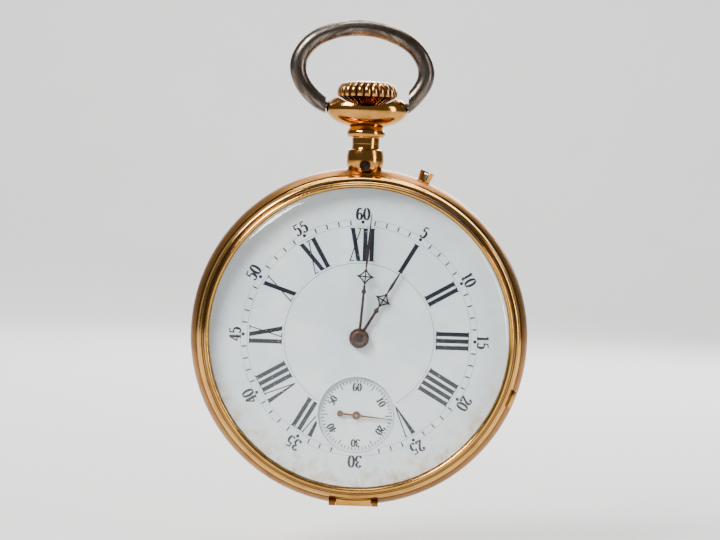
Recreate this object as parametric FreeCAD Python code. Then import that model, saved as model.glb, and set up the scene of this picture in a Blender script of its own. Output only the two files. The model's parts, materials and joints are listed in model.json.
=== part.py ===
import FreeCAD, Part
import math
import os
from FreeCAD import Vector

# An open-faced, stem-wound, nail-set pocket watch of about 18 lignes, in millimetres.
# The watch hangs from its bow. +Z is up through the pendant, the dial faces -Y and 3 o'clock is at +X.
# Everything is drawn about the centre of the case, then moved down by HANG when it is saved, so that the
# origin is the highest point inside the bow, where a hook or a chain carries the watch.
# Places on the movement are (x, z); levels through its thickness are y, from the dial side to the back.
# Angles marked "clock" are in degrees clockwise from 12 o'clock, as seen from the front.

# ---- case ----
CASE_RADIUS = 25.0          # widest point of the band
PARTING_RADIUS = 24.05      # band where the bezel and the back cover meet it
PARTING_Y = 2.4             # half the height of the band
LID_GAP = 0.05              # between the band and each lid
BORE_RADIUS = 21.2          # the movement's seat in the band
FLANGE_RADIUS = 21.9        # front flange of the movement
LIP_RADIUS = 22.08          # edge of the bezel over the crystal
CRYSTAL_RADIUS = 22.4
CRYSTAL_EDGE_Y = -4.5       # back of the crystal's edge
CRYSTAL_TOP_Y = -6.9        # front of the crystal's dome
CRYSTAL_THICKNESS = 0.9
COVER_FLAT_RADIUS = 12.0    # flat centre of the back cover
COVER_Y = 6.6               # outer face of the back cover
COVER_THICKNESS = 0.45

# ---- hinges at 6 o'clock ----
HINGE_Z = -24.45
KNUCKLE_RADIUS = 0.55
PIN_RADIUS = 0.2
PIN_PLAY = 0.02
OUTER_KNUCKLE = (2.65, 3.65)    # distance of the band's knuckles from the middle, start and end
INNER_KNUCKLE = (1.25, 2.6)     # the back cover's knuckles
MIDDLE_KNUCKLE = 1.2            # half the length of the cuvette's knuckle

# ---- pendant, crown and bow ----
PENDANT_Z = 24.3            # foot of the pendant
PENDANT_SCREW = (0.0, 25.35)
PENDANT_SCREW_RADIUS = 0.72
BOW_PIVOT_Z = 34.2
HEAD_Z = 33.6               # middle of the pendant's bowl-shaped head
HEAD_HALF = (6.03, 4.25, 2.9)
HEAD_TOP_Z = 35.2
SADDLE_DEPTH = 1.2          # dip of the head's rim between its two ears
SADDLE_RADIUS = 8.0
CROWN_RADIUS = 4.43
CROWN_RIBS = 24
CROWN_RIM_Z = (35.55, 36.2)
CROWN_TOP_Z = 37.85
BOW_WIRE_RADIUS = 1.225
BOW_HALF_WIDTH = 9.5       # of the wire's centre line
BOW_HALF_HEIGHT = 6.25
BOW_Z = 39.4
BOW_SHIFT = -0.9            # the old bow is bent a little to one side
BOW_TILT = 3.0              # and leans clockwise
BOW_GAP_X = 6.12            # where the wire is trimmed flat beside the head
BOW_END_X = 4.9             # where the wire's centre line would end if it weren't trimmed
BOW_PEG_RADIUS = 0.6
HANG = BOW_Z + BOW_HALF_HEIGHT - BOW_WIRE_RADIUS

# ---- nail-set button ----
BUTTON_CLOCK = 20.6
BUTTON_PIN_RADIUS = 0.42
BUTTON_PIN_END = 18.85      # distance of the pin's inner end from the middle of the case
BUTTON_HEAD = (25.5, 26.15)
GUARD_END = 26.4

# ---- dial and hands ----
DIAL_RADIUS = 21.6
DIAL_Y = (-3.55, -2.85)
SINK_RADIUS = 5.65
SUBDIAL_Y = (-3.15, -2.6)
DIAL_FEET_CLOCK = (35.0, 155.0, 275.0)
DIAL_FEET_RADIUS = 18.5
MINUTE_CLOCK = 3.9
HOUR_CLOCK = 30.3
SECOND_CLOCK = 95.0
MINUTE_HAND_Y = (-4.6, -4.45)
HOUR_HAND_Y = (-4.15, -4.0)
SECOND_HAND_Y = (-3.57, -3.45)

# ---- movement levels ----
PLATE_Y = (-1.75, -0.35)
BRIDGE_Y = (2.3, 3.4)
BRIDGE_RADIUS = 20.4
BRIDGE_SPLIT_Z = -2.1
WINDING_Y = (3.45, 3.85)    # ratchet wheel, crown wheel and click
FLOOR_Y = 2.0               # under the crown wheel's pocket

# ---- gears: teeth and modules ----
ADDENDUM = 0.85
DEDENDUM = 1.1
TIP_SHARE = 0.11            # half width of a tooth at its tip, as a share of the pitch
ROOT_SHARE = 0.29
BARREL_TEETH = 80
CENTRE_PINION_TEETH = 10
BARREL_MODULE = 0.2
CENTRE_TEETH = 80
CENTRE_MODULE = 0.15
TRAIN_PINION_TEETH = 10
THIRD_TEETH = 75
THIRD_MODULE = 0.13
FOURTH_TEETH = 80
FOURTH_MODULE = 0.12
ESCAPE_PINION_TEETH = 8
ESCAPE_TEETH = 15
ESCAPE_RADIUS = 3.0
CANNON_TEETH = 12
MINUTE_TEETH = 36
MOTION_MODULE = 0.18
MINUTE_PINION_TEETH = 10
HOUR_TEETH = 40
SETTING_TEETH = 36
CROWN_WHEEL_TEETH = 26
RATCHET_TEETH = 46
WINDING_MODULE = 0.28
CONTRATE_TEETH = 24         # under the crown wheel
WINDING_PINION_TEETH = 20

# ---- places on the movement ----
CENTRE = (0.0, 0.0)
FOURTH = (0.0, -11.4)
ESCAPE = (4.6, -14.0)
PALLET = (7.47, -11.99)
BALANCE = (10.33, -9.98)
SETTING = (0.0, 10.5)
CROWN_WHEEL = (0.0, 14.12)
CASE_SCREW_CLOCK = (70.0, 250.0)
CASE_SCREW_RADIUS = 20.2
BRIDGE_SCREWS = ((16.5, 8.5), (-17.2, 9.0), (9.5, 9.5), (-13.5, -8.5), (1.2, -18.9), (16.3, -1.0))
YOKE_PIVOT = (11.5, 13.2)
CLICK_PIVOT = (-14.0, 12.3)
PALLET_FOOT = (9.54, -14.94)

JEWEL_RADIUS = 0.7
PIVOT_RADIUS = 0.15
SCREW_RADIUS = 0.4
STEM_RADIUS = 0.6
CLUTCH_Z = (15.2, 16.4)
CLUTCH_RADIUS = 1.9
PINION_Z = (16.6, 17.4)
PINION_RADIUS = 2.55
BALANCE_RADIUS = 6.0

X_AXIS = Vector(1, 0, 0)
Y_AXIS = Vector(0, 1, 0)
Z_AXIS = Vector(0, 0, 1)
MIDDLE = Vector(0, 0, 0)


# ---- drawing helpers ----

def polar(radius, clock, centre=CENTRE):
    """Point (x, z) at a radius and a clock angle about a centre."""
    turn = math.radians(clock)
    return centre[0] + radius * math.sin(turn), centre[1] + radius * math.cos(turn)


def clock_angle(start, end):
    return math.degrees(math.atan2(end[0] - start[0], end[1] - start[1]))


def distance(start, end):
    return math.hypot(end[0] - start[0], end[1] - start[1])


def crossing(left, left_radius, right, right_radius):
    """Where two circles cross, on the side of smaller x."""
    gap = distance(left, right)
    along = (left_radius**2 - right_radius**2 + gap**2) / (2 * gap)
    aside = math.sqrt(left_radius**2 - along**2)
    clock = clock_angle(left, right)
    foot = polar(along, clock, left)
    return min(polar(aside, clock + 90, foot), polar(aside, clock - 90, foot))


def outline(steps, place):
    """Closed face. A step is a point, or a pair: a point on an arc and the arc's end."""
    edges = []
    here = place(*steps[0])
    for step in steps[1:] + steps[:1]:
        if isinstance(step[0], tuple):
            end = place(*step[1])
            edges.append(Part.Arc(here, place(*step[0]), end).toShape())
        else:
            end = place(*step)
            edges.append(Part.makeLine(here, end))
        here = end
    return Part.Face(Part.Wire(edges))


def facing_out(solid):
    if solid.Volume < 0:
        solid.reverse()
    return solid


def turned(steps, centre=CENTRE):
    """Solid turned about an axis along Y. Steps are (radius, y)."""
    face = outline(steps, lambda radius, y: Vector(centre[0] + radius, y, centre[1]))
    return facing_out(face.revolve(Vector(centre[0], 0, centre[1]), Y_AXIS, 360))


def upright(steps):
    """Solid turned about the Z axis. Steps are (radius, z)."""
    face = outline(steps, lambda radius, z: Vector(radius, 0, z))
    return facing_out(face.revolve(MIDDLE, Z_AXIS, 360))


def flat(steps, level):
    """Plate with an outline of (x, z) steps between two levels of y."""
    face = outline(steps, lambda x, z: Vector(x, level[0], z))
    return facing_out(face.extrude(Vector(0, level[1] - level[0], 0)))


def disc(radius, level, centre=CENTRE, bore=0.0):
    corner = Vector(centre[0], level[0], centre[1])
    solid = Part.makeCylinder(radius, level[1] - level[0], corner, Y_AXIS)
    if bore:
        solid = solid.cut(Part.makeCylinder(bore, level[1] - level[0], corner, Y_AXIS))
    return solid


def bar(start, end, width, level, end_width=None):
    """Straight bar between two points, optionally tapering."""
    along = clock_angle(start, end)
    far = (width if end_width is None else end_width) / 2
    near = width / 2
    corners = [
        polar(near, along - 90, start),
        polar(far, along - 90, end),
        polar(far, along + 90, end),
        polar(near, along + 90, start),
    ]
    return flat(corners, level)


def block(x, y, z):
    """Box between pairs of limits."""
    return Part.makeBox(x[1] - x[0], y[1] - y[0], z[1] - z[0], Vector(x[0], y[0], z[0]))


def rod(radius, z, centre_y=0.0):
    """Cylinder along Z on the stem's axis."""
    return Part.makeCylinder(radius, z[1] - z[0], Vector(0, centre_y, z[0]), Z_AXIS)


def shaft(centre, start, *lengths):
    """Stepped shaft along Y: the level it starts at, then (radius, end level) for each length."""
    steps = [(0, start)]
    level = start
    for radius, end in lengths:
        steps.append((radius, level))
        steps.append((radius, end))
        level = end
    steps.append((0, level))
    return turned(steps, centre)


def joined(first, *others):
    return first.multiFuse(list(others)).removeSplitter()


def at_clock(solid, clock, centre=CENTRE):
    """Turn a solid drawn towards 12 o'clock to another clock angle."""
    turned_solid = solid.copy()
    turned_solid.rotate(Vector(centre[0], 0, centre[1]), Y_AXIS, clock)
    return turned_solid


def moved(solid, centre):
    placed = solid.copy()
    placed.translate(Vector(centre[0], 0, centre[1]))
    return placed


def dome(edge, apex_y):
    """Arc of a ball from a turned outline's edge (radius, height) to its axis."""
    rise = apex_y - edge[1]
    radius = (edge[0] ** 2 + rise**2) / (2 * abs(rise))
    sag = radius - math.sqrt(radius**2 - (edge[0] / 2) ** 2)
    return (edge[0] / 2, apex_y - math.copysign(sag, rise)), (0, apex_y)


# ---- gears ----

def gear(teeth, module, level, centre, phase):
    """Spur gear with straight-sided teeth. The phase is the clock angle of one tooth."""
    pitch_radius = teeth * module / 2
    tip = pitch_radius + ADDENDUM * module
    root = pitch_radius - DEDENDUM * module
    step = 360 / teeth
    corners = []
    for tooth in range(teeth):
        middle = phase + tooth * step
        corners.append(polar(root, middle - ROOT_SHARE * step, centre))
        corners.append(polar(tip, middle - TIP_SHARE * step, centre))
        corners.append(polar(tip, middle + TIP_SHARE * step, centre))
        corners.append(polar(root, middle + ROOT_SHARE * step, centre))
    return flat(corners, level)


def meshed(teeth, phase, centre, next_teeth, next_centre):
    """Phase that puts a gap of the next gear on the tooth of this one, on the line between them."""
    towards = clock_angle(centre, next_centre)
    past_tooth = (towards - phase) * teeth / 360
    return towards + 180 + (past_tooth % 1 + 0.5) * 360 / next_teeth


def spoked(wheel, level, centre, inner, outer, spokes, width):
    """Cut the openings between a wheel's spokes."""
    opening = disc(outer, level, centre, inner)
    for spoke in range(spokes):
        clock = 360 * spoke / spokes
        opening = opening.cut(bar(centre, polar(outer + 1, clock, centre), width, level))
    return wheel.cut(opening)


BARREL = crossing(
    CENTRE, (BARREL_TEETH + CENTRE_PINION_TEETH) * BARREL_MODULE / 2,
    CROWN_WHEEL, (CROWN_WHEEL_TEETH + RATCHET_TEETH) * WINDING_MODULE / 2)
THIRD = crossing(
    CENTRE, (CENTRE_TEETH + TRAIN_PINION_TEETH) * CENTRE_MODULE / 2,
    FOURTH, (THIRD_TEETH + TRAIN_PINION_TEETH) * THIRD_MODULE / 2)
MOTION_DISTANCE = (CANNON_TEETH + MINUTE_TEETH) * MOTION_MODULE / 2
HOUR_MODULE = 2 * MOTION_DISTANCE / (MINUTE_PINION_TEETH + HOUR_TEETH)
MINUTE = crossing(
    SETTING, (MINUTE_TEETH + SETTING_TEETH) * MOTION_MODULE / 2, CENTRE, MOTION_DISTANCE)
MINUTE = (-MINUTE[0], MINUTE[1])

CENTRE_PINION_PHASE = meshed(BARREL_TEETH, 0, BARREL, CENTRE_PINION_TEETH, CENTRE)
THIRD_PINION_PHASE = meshed(CENTRE_TEETH, 0, CENTRE, TRAIN_PINION_TEETH, THIRD)
FOURTH_PINION_PHASE = meshed(THIRD_TEETH, 0, THIRD, TRAIN_PINION_TEETH, FOURTH)
ESCAPE_PINION_PHASE = meshed(FOURTH_TEETH, 0, FOURTH, ESCAPE_PINION_TEETH, ESCAPE)
MINUTE_PHASE = meshed(CANNON_TEETH, 0, CENTRE, MINUTE_TEETH, MINUTE)
SETTING_PHASE = meshed(MINUTE_TEETH, MINUTE_PHASE, MINUTE, SETTING_TEETH, SETTING)
HOUR_PHASE = meshed(MINUTE_PINION_TEETH, 0, MINUTE, HOUR_TEETH, CENTRE)
RATCHET_PHASE = meshed(CROWN_WHEEL_TEETH, 0, CROWN_WHEEL, RATCHET_TEETH, BARREL)


# ---- hinges ----

def knuckle(x, y, tie_y):
    """Hinge barrel on the line y, HINGE_Z, with a tie into the ring beside it."""
    length = x[1] - x[0]
    barrel = Part.makeCylinder(KNUCKLE_RADIUS, length, Vector(x[0], y, HINGE_Z), X_AXIS)
    tie = block(x, tie_y, (HINGE_Z, HINGE_Z + 1.3))
    return barrel.fuse(tie)


def hinge_line(x, y, radius):
    return Part.makeCylinder(radius, x[1] - x[0], Vector(x[0], y, HINGE_Z), X_AXIS)


def mirrored_pair(limits):
    return [limits, (-limits[1], -limits[0])]


def room_for_knuckles(ranges, y):
    gap = 0.07
    rooms = [hinge_line((x[0] - gap, x[1] + gap), y, KNUCKLE_RADIUS + gap) for x in ranges]
    return rooms[0].multiFuse(rooms[1:]) if len(rooms) > 1 else rooms[0]


def pin_hole(y):
    reach = OUTER_KNUCKLE[1] + 1
    return hinge_line((-reach, reach), y, PIN_RADIUS + PIN_PLAY)


def hinge_pin(y):
    return hinge_line((-OUTER_KNUCKLE[1], OUTER_KNUCKLE[1]), y, PIN_RADIUS)


LID_KNUCKLES = [(-INNER_KNUCKLE[1], INNER_KNUCKLE[1])]
COVER_KNUCKLES = mirrored_pair(INNER_KNUCKLE)
CUVETTE_KNUCKLES = [(-MIDDLE_KNUCKLE + 0.02, MIDDLE_KNUCKLE - 0.02)]
BAND_KNUCKLES = mirrored_pair(OUTER_KNUCKLE)


# ---- case ----

def band_envelope():
    return turned([
        (0, -PARTING_Y), (PARTING_RADIUS, -PARTING_Y),
        ((CASE_RADIUS, 0), (PARTING_RADIUS, PARTING_Y)), (0, PARTING_Y)])


def case_middle():
    ring = turned([
        (BORE_RADIUS, PLATE_Y[0]), (FLANGE_RADIUS + 0.1, PLATE_Y[0]), (FLANGE_RADIUS + 0.1, -PARTING_Y),
        (22.3, -PARTING_Y), (22.3, -3.0), (22.9, -3.0), (22.9, -PARTING_Y),
        (PARTING_RADIUS, -PARTING_Y), ((CASE_RADIUS, 0), (PARTING_RADIUS, PARTING_Y)),
        (22.7, PARTING_Y), (22.7, 1.95), (21.9, 1.95), (21.9, 1.45), (BORE_RADIUS, 1.45)])
    for y, tie in ((-PARTING_Y, (-PARTING_Y, -1.85)), (PARTING_Y, (1.85, PARTING_Y))):
        lid = LID_KNUCKLES if y < 0 else COVER_KNUCKLES + CUVETTE_KNUCKLES
        ring = ring.cut(room_for_knuckles(lid, y))
        ring = ring.multiFuse([knuckle(x, y, tie) for x in BAND_KNUCKLES])
        ring = ring.cut(pin_hole(y))
    ring = ring.cut(rod(STEM_RADIUS + 0.15, (20, 26)))
    button_hole = rod(BUTTON_PIN_RADIUS + 0.06, (20, 23.5)).fuse(rod(0.95, (23.4, 26)))
    return ring.cut(at_clock(button_hole, BUTTON_CLOCK)).removeSplitter()


def bezel():
    foot = -PARTING_Y - LID_GAP
    ring = turned([
        (22.95, foot), (22.95, -3.05), (21.95, -3.05), (21.95, CRYSTAL_EDGE_Y + 0.03),
        (CRYSTAL_RADIUS + 0.03, CRYSTAL_EDGE_Y + 0.03), (CRYSTAL_RADIUS + 0.03, -4.98), (LIP_RADIUS, -4.98),
        (LIP_RADIUS, -5.2), ((22.4, -5.52), (22.72, -5.15)), (22.75, -4.95),
        ((22.92, -4.82), (23.03, -4.6)), (23.06, -4.4), ((23.42, -4.3), (23.62, -3.9)),
        ((23.68, -3.35), (23.95, -2.95)), (PARTING_RADIUS, -2.85), (PARTING_RADIUS, foot)])
    lug = flat([(-1.6, 23.4), (1.6, 23.4), (1.2, 24.55), (-1.2, 24.55)], (-3.0, foot))
    ring = ring.fuse(at_clock(lug, 110))
    ring = ring.cut(room_for_knuckles(BAND_KNUCKLES, -PARTING_Y))
    ring = ring.fuse(knuckle(LID_KNUCKLES[0], -PARTING_Y, (foot - 0.55, foot)))
    return ring.cut(pin_hole(-PARTING_Y)).removeSplitter()


def crystal():
    inner_edge = (20.8, CRYSTAL_EDGE_Y)
    bevel = (21.35, -5.45)
    apex_through, apex = dome(bevel, CRYSTAL_TOP_Y)
    inner_through, inner_apex = dome(inner_edge, CRYSTAL_TOP_Y + CRYSTAL_THICKNESS)
    return turned([
        inner_apex, (inner_through, inner_edge), (CRYSTAL_RADIUS, CRYSTAL_EDGE_Y), (CRYSTAL_RADIUS, -4.92),
        (22.02, -4.95), bevel, (apex_through, apex)])


def cuvette():
    inner_edge = (17.5, 4.3)
    outer_edge = (17.6, 4.7)
    inner_through, inner_apex = dome(inner_edge, 4.5)
    lid = turned([
        inner_apex, (inner_through, inner_edge), ((20.4, 3.95), (21.2, 3.3)), (21.5, 2.0), (22.6, 2.0),
        (22.6, PARTING_Y), (21.85, PARTING_Y), (21.6, 3.4), ((20.75, 4.28), outer_edge),
        dome(outer_edge, 4.9)])
    width = CUVETTE_KNUCKLES[0]
    outside = PARTING_Y + LID_GAP
    tab = block(width, (outside, outside + 0.45), (HINGE_Z, -22.0))
    tab = tab.fuse(block(width, (2.1, outside + 0.1), (-22.4, -21.7)))
    lid = lid.multiFuse([tab, hinge_line(width, PARTING_Y, KNUCKLE_RADIUS)])
    return lid.cut(pin_hole(PARTING_Y)).removeSplitter()


def back_cover():
    foot = PARTING_Y + LID_GAP
    inside = COVER_Y - COVER_THICKNESS
    ring = turned([
        (22.8, foot), (PARTING_RADIUS, foot), (PARTING_RADIUS, 2.8), ((23.72, 3.05), (23.62, 3.4)),
        ((23.4, 3.8), (22.95, 3.88)), ((17.5, 5.94), (COVER_FLAT_RADIUS, COVER_Y)), (0, COVER_Y),
        (0, inside), (COVER_FLAT_RADIUS, inside), ((17.4, 5.5), (22.6, 3.55)), (22.8, 3.3)])
    ring = ring.cut(room_for_knuckles(BAND_KNUCKLES + CUVETTE_KNUCKLES, PARTING_Y))
    tab_room = MIDDLE_KNUCKLE + 0.05
    ring = ring.cut(block((-tab_room, tab_room), (foot - 0.1, foot + 0.55), (HINGE_Z, -21.5)))
    ring = ring.multiFuse([knuckle(x, PARTING_Y, (foot, foot + 0.55)) for x in COVER_KNUCKLES])
    return ring.cut(pin_hole(PARTING_Y)).removeSplitter()


# ---- pendant, crown, stem and bow ----

def ellipsoid(half, centre_z):
    ball = Part.makeSphere(1.0)
    stretch = FreeCAD.Matrix()
    stretch.scale(half[0], half[1], half[2])
    shape = ball.transformGeometry(stretch)
    shape.translate(Vector(0, 0, centre_z))
    return shape


def pendant():
    neck = upright([
        (0, PENDANT_Z), (2.3, PENDANT_Z), ((2.75, 26.1), (2.56, 27.6)), (2.3, 27.75),
        (2.12, 27.78), ((2.03, 28.1), (2.03, 28.6)), (2.03, 29.4), (2.6, 29.5),
        ((2.83, 30.0), (2.65, 30.6)), ((2.35, 31.1), (2.2, 31.4)), (2.2, 32.0), (0, 32.0)])
    head = ellipsoid(HEAD_HALF, HEAD_Z)
    head = head.cut(block((-10, 10), (-10, 10), (HEAD_TOP_Z, 40)))
    saddle = Vector(0, -10, HEAD_TOP_Z - SADDLE_DEPTH + SADDLE_RADIUS)
    head = head.cut(Part.makeCylinder(SADDLE_RADIUS, 20, saddle, Y_AXIS))
    dish = upright([(0, 33.7), (1.9, 33.7), (4.3, HEAD_TOP_Z), (4.6, 36), (0, 36)])
    body = neck.fuse(head.cut(dish))
    body = body.cut(rod(STEM_RADIUS + 0.06, (20, 36)))
    ear_depth = (4.2, 8)
    for x in mirrored_pair(ear_depth):
        body = body.cut(Part.makeCylinder(
            BOW_PEG_RADIUS + 0.06, x[1] - x[0], Vector(x[0], 0, BOW_PIVOT_Z), X_AXIS))
    body = body.cut(band_envelope())
    body = body.cut(disc(PENDANT_SCREW_RADIUS + 0.12, (-4, -1.9), PENDANT_SCREW))
    return body.cut(disc(0.25, (-2, -1.1), PENDANT_SCREW)).removeSplitter()


def pendant_screw():
    """Slotted set screw, sunk in its recess at the foot of the pendant, in front."""
    screw = shaft(PENDANT_SCREW, -2.25, (PENDANT_SCREW_RADIUS, -1.9), (0.25, -1.1))
    return screw.cut(bar(polar(1, 70, PENDANT_SCREW), polar(1, 250, PENDANT_SCREW), 0.16, (-2.3, -2.1)))


def crown():
    ribs = []
    step = 360 / CROWN_RIBS
    for rib in range(CROWN_RIBS):
        for radius, share in ((4.12, -0.32), (CROWN_RADIUS, -0.16), (CROWN_RADIUS, 0.16), (4.12, 0.32)):
            turn = math.radians((rib + share) * step)
            ribs.append((radius * math.cos(turn), radius * math.sin(turn)))
    fluted = outline(ribs, lambda x, y: Vector(x, y, 33)).extrude(Vector(0, 0, 6))
    shoulder = (2.6, 37.65)
    body = upright([
        (STEM_RADIUS, 33.95), (1.6, 33.95), ((3.1, 34.8), (4.1, 35.38)), (CROWN_RADIUS, CROWN_RIM_Z[0]),
        (CROWN_RADIUS, CROWN_RIM_Z[1]), ((4.0, 37.15), shoulder), dome(shoulder, CROWN_TOP_Z), (0, 36.2),
        (STEM_RADIUS, 36.2)])
    return body.common(facing_out(fluted)).removeSplitter()


def winding_stem():
    turned_part = upright([
        (0, 12.4), (0.35, 12.4), (0.35, 14.0), (0.45, 14.0), (0.45, 16.5), (STEM_RADIUS, 16.5),
        (STEM_RADIUS, 36.2), (0, 36.2)])
    return turned_part.fuse(block((-0.45, 0.45), (-0.45, 0.45), (14.0, 16.55))).removeSplitter()


def bow_point(turn):
    """Point on the bow's centre line. 0 is its right side and 90 its top."""
    x = BOW_HALF_WIDTH * math.cos(math.radians(turn))
    z = BOW_HALF_HEIGHT * math.sin(math.radians(turn))
    lean = math.radians(BOW_TILT)
    return Vector(
        BOW_SHIFT + x * math.cos(lean) + z * math.sin(lean), 0,
        BOW_Z - x * math.sin(lean) + z * math.cos(lean))


def bow():
    """Bent wire, trimmed flat beside the pendant's head, with a peg into each of its ears."""
    left = Vector(-BOW_END_X, 0, BOW_PIVOT_Z - 0.35)
    right = Vector(BOW_END_X, 0, BOW_PIVOT_Z - 0.35)
    line = Part.BSplineCurve()
    line.interpolate([left] + [bow_point(turn) for turn in (212, 180, 150, 120, 90, 60, 30, 0, -30)] + [right])
    path = Part.Wire([line.toShape()])
    start = line.tangent(line.FirstParameter)[0]
    section = Part.Wire([Part.makeCircle(BOW_WIRE_RADIUS, left, start)])
    ring = facing_out(path.makePipeShell([section], True, False))
    ring = ring.cut(block((-BOW_GAP_X, BOW_GAP_X), (-3, 3), (BOW_PIVOT_Z - 5, BOW_PIVOT_Z + 4)))
    pegs = [
        Part.makeCylinder(BOW_PEG_RADIUS, x[1] - x[0], Vector(x[0], 0, BOW_PIVOT_Z), X_AXIS)
        for x in mirrored_pair((4.35, BOW_GAP_X + 0.5))]
    return ring.multiFuse(pegs).removeSplitter()


# ---- nail-set button, yoke and keyless work ----

def set_guard():
    cup = upright([
        (BUTTON_PIN_RADIUS + 0.06, 23.42), (0.95, 23.42), (0.95, 25.2), (1.12, GUARD_END), (0.92, GUARD_END),
        (0.74, 25.5), (0.74, 23.8), (BUTTON_PIN_RADIUS + 0.06, 23.8)])
    slot = block((-0.32, 0.32), (-2, 0), (25.15, 27))
    return at_clock(cup.cut(slot), BUTTON_CLOCK)


def set_button():
    pin = upright([
        (0, BUTTON_PIN_END), (BUTTON_PIN_RADIUS, BUTTON_PIN_END), (BUTTON_PIN_RADIUS, 20.65), (0.6, 20.65),
        (0.6, 21.0), (BUTTON_PIN_RADIUS, 21.0), (BUTTON_PIN_RADIUS, BUTTON_HEAD[0]), (0.66, BUTTON_HEAD[0]),
        (0.66, BUTTON_HEAD[1] - 0.12), (0.5, BUTTON_HEAD[1]), (0, BUTTON_HEAD[1])])
    return at_clock(pin, BUTTON_CLOCK)


def set_button_spring():
    """Coil spring of square wire that pushes the button out again."""
    half_wire = 0.065
    coil = 0.6
    helix = Part.makeHelix(0.3, 1.5, coil)
    corners = [(coil - half_wire, -half_wire), (coil + half_wire, -half_wire), (coil + half_wire, half_wire),
               (coil - half_wire, half_wire)]
    section = outline(corners, lambda x, z: Vector(x, 0, z)).OuterWire
    spring = Part.Wire(helix).makePipeShell([section], True, True)
    spring.translate(Vector(0, 0, 23.9))
    return at_clock(facing_out(spring), BUTTON_CLOCK)


def yoke():
    level = (-0.3, 0.2)
    elbow = (6.3, 16.5)
    near_tip = (2.5, 15.85)
    pad = polar(BUTTON_PIN_END - 0.07, BUTTON_CLOCK)
    lever = joined(
        disc(1.1, level, YOKE_PIVOT), bar(YOKE_PIVOT, elbow, 1.5, level, 1.1), disc(0.55, level, elbow),
        bar(elbow, near_tip, 0.9, level, 0.36), bar((2.6, 15.85), (1.65, 15.85), 0.34, level),
        bar(elbow, pad, 1.1, level))
    return lever.cut(disc(0.48, level, YOKE_PIVOT))


def yoke_spring():
    level = (-0.3, 0.05)
    foot = (8.6, 12.4)
    return joined(disc(0.6, level, foot), bar(foot, (4.6, 15.55), 0.45, level, 0.2))


def clutch():
    body = upright([
        (0, CLUTCH_Z[0] + 0.15), (CLUTCH_RADIUS, CLUTCH_Z[0] + 0.15), (CLUTCH_RADIUS, 15.6), (1.3, 15.6),
        (1.3, 16.1), (CLUTCH_RADIUS, 16.1), (CLUTCH_RADIUS, CLUTCH_Z[1]), (0, CLUTCH_Z[1])])
    teeth = []
    for tooth in range(16):
        lug = block((-0.15, 0.15), (1.3, 1.85), (CLUTCH_Z[0], CLUTCH_Z[0] + 0.2))
        lug.rotate(MIDDLE, Z_AXIS, 360 * tooth / 16)
        teeth.append(lug)
    body = body.multiFuse(teeth)
    return body.cut(block((-0.48, 0.48), (-0.48, 0.48), (15, 17))).removeSplitter()


def winding_pinion():
    corners = []
    step = 360 / WINDING_PINION_TEETH
    for tooth in range(WINDING_PINION_TEETH):
        for radius, share in ((2.2, 0.2), (PINION_RADIUS, 0.36), (PINION_RADIUS, 0.64), (2.2, 0.8)):
            turn = math.radians(90 + (tooth + share) * step)
            corners.append((radius * math.cos(turn), radius * math.sin(turn)))
    rim = outline(corners, lambda x, y: Vector(x, y, PINION_Z[0])).extrude(
        Vector(0, 0, PINION_Z[1] - PINION_Z[0]))
    rim = facing_out(rim).fuse(rod(1.7, (16.45, PINION_Z[0])))
    return rim.cut(rod(STEM_RADIUS + 0.03, (16, 18))).removeSplitter()


def crown_wheel():
    wheel = gear(CROWN_WHEEL_TEETH, WINDING_MODULE, WINDING_Y, CROWN_WHEEL, 0)
    skirt = disc(3.2, (2.6, WINDING_Y[0]), CROWN_WHEEL, 2.6)
    lugs = []
    for tooth in range(CONTRATE_TEETH):
        lug = block((-0.13, 0.13), (2.35, 2.65), (2.65, 3.15))
        lugs.append(at_clock(moved(lug, CROWN_WHEEL), 360 * tooth / CONTRATE_TEETH, CROWN_WHEEL))
    wheel = wheel.multiFuse([skirt] + lugs)
    return wheel.cut(disc(0.95, (2, 4), CROWN_WHEEL)).removeSplitter()


def crown_wheel_screw():
    return shaft(CROWN_WHEEL, 2.45, (SCREW_RADIUS, 3.9), (1.6, 4.15)).cut(
        bar(polar(2, 90, CROWN_WHEEL), polar(2, 270, CROWN_WHEEL), 0.3, (4.05, 4.3)))


def ratchet_wheel():
    wheel = gear(RATCHET_TEETH, WINDING_MODULE, WINDING_Y, BARREL, RATCHET_PHASE)
    square = moved(block((-0.65, 0.65), (3, 4), (-0.65, 0.65)), BARREL)
    return wheel.cut(square)


def ratchet_screw():
    return shaft(BARREL, 2.6, (SCREW_RADIUS, WINDING_Y[1]), (1.6, 4.15)).cut(
        bar(polar(2, 40, BARREL), polar(2, 220, BARREL), 0.3, (4.05, 4.3)))


def click():
    tip = polar(6.8, -31, BARREL)
    beak = bar(CLICK_PIVOT, tip, 1.5, WINDING_Y, 0.25)
    return disc(0.95, WINDING_Y, CLICK_PIVOT).fuse(beak).cut(disc(0.43, WINDING_Y, CLICK_PIVOT))


def click_spring():
    foot = (-9.0, 16.3)
    return joined(disc(0.6, WINDING_Y, foot), bar(foot, (-13.3, 13.65), 0.4, WINDING_Y, 0.18))


# ---- barrel ----

def barrel_drum():
    level = (-0.25, 0.15)
    wheel = gear(BARREL_TEETH, BARREL_MODULE, level, BARREL, 0)
    wall = disc(7.6, (0.1, 1.55), BARREL, 7.2)
    return wheel.fuse(wall).cut(disc(1.0, level, BARREL)).removeSplitter()


def barrel_cover():
    return disc(7.2, (1.35, 1.55), BARREL, 1.0)


def barrel_arbor():
    core = shaft(
        BARREL, -1.2, (0.6, -0.3), (0.95, 0.2), (1.9, 1.3), (0.95, 1.7), (0.9, WINDING_Y[0]))
    square = moved(block((-0.63, 0.63), (3.3, WINDING_Y[1]), (-0.63, 0.63)), BARREL)
    return core.fuse(square).cut(ratchet_screw()).removeSplitter()


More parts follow.
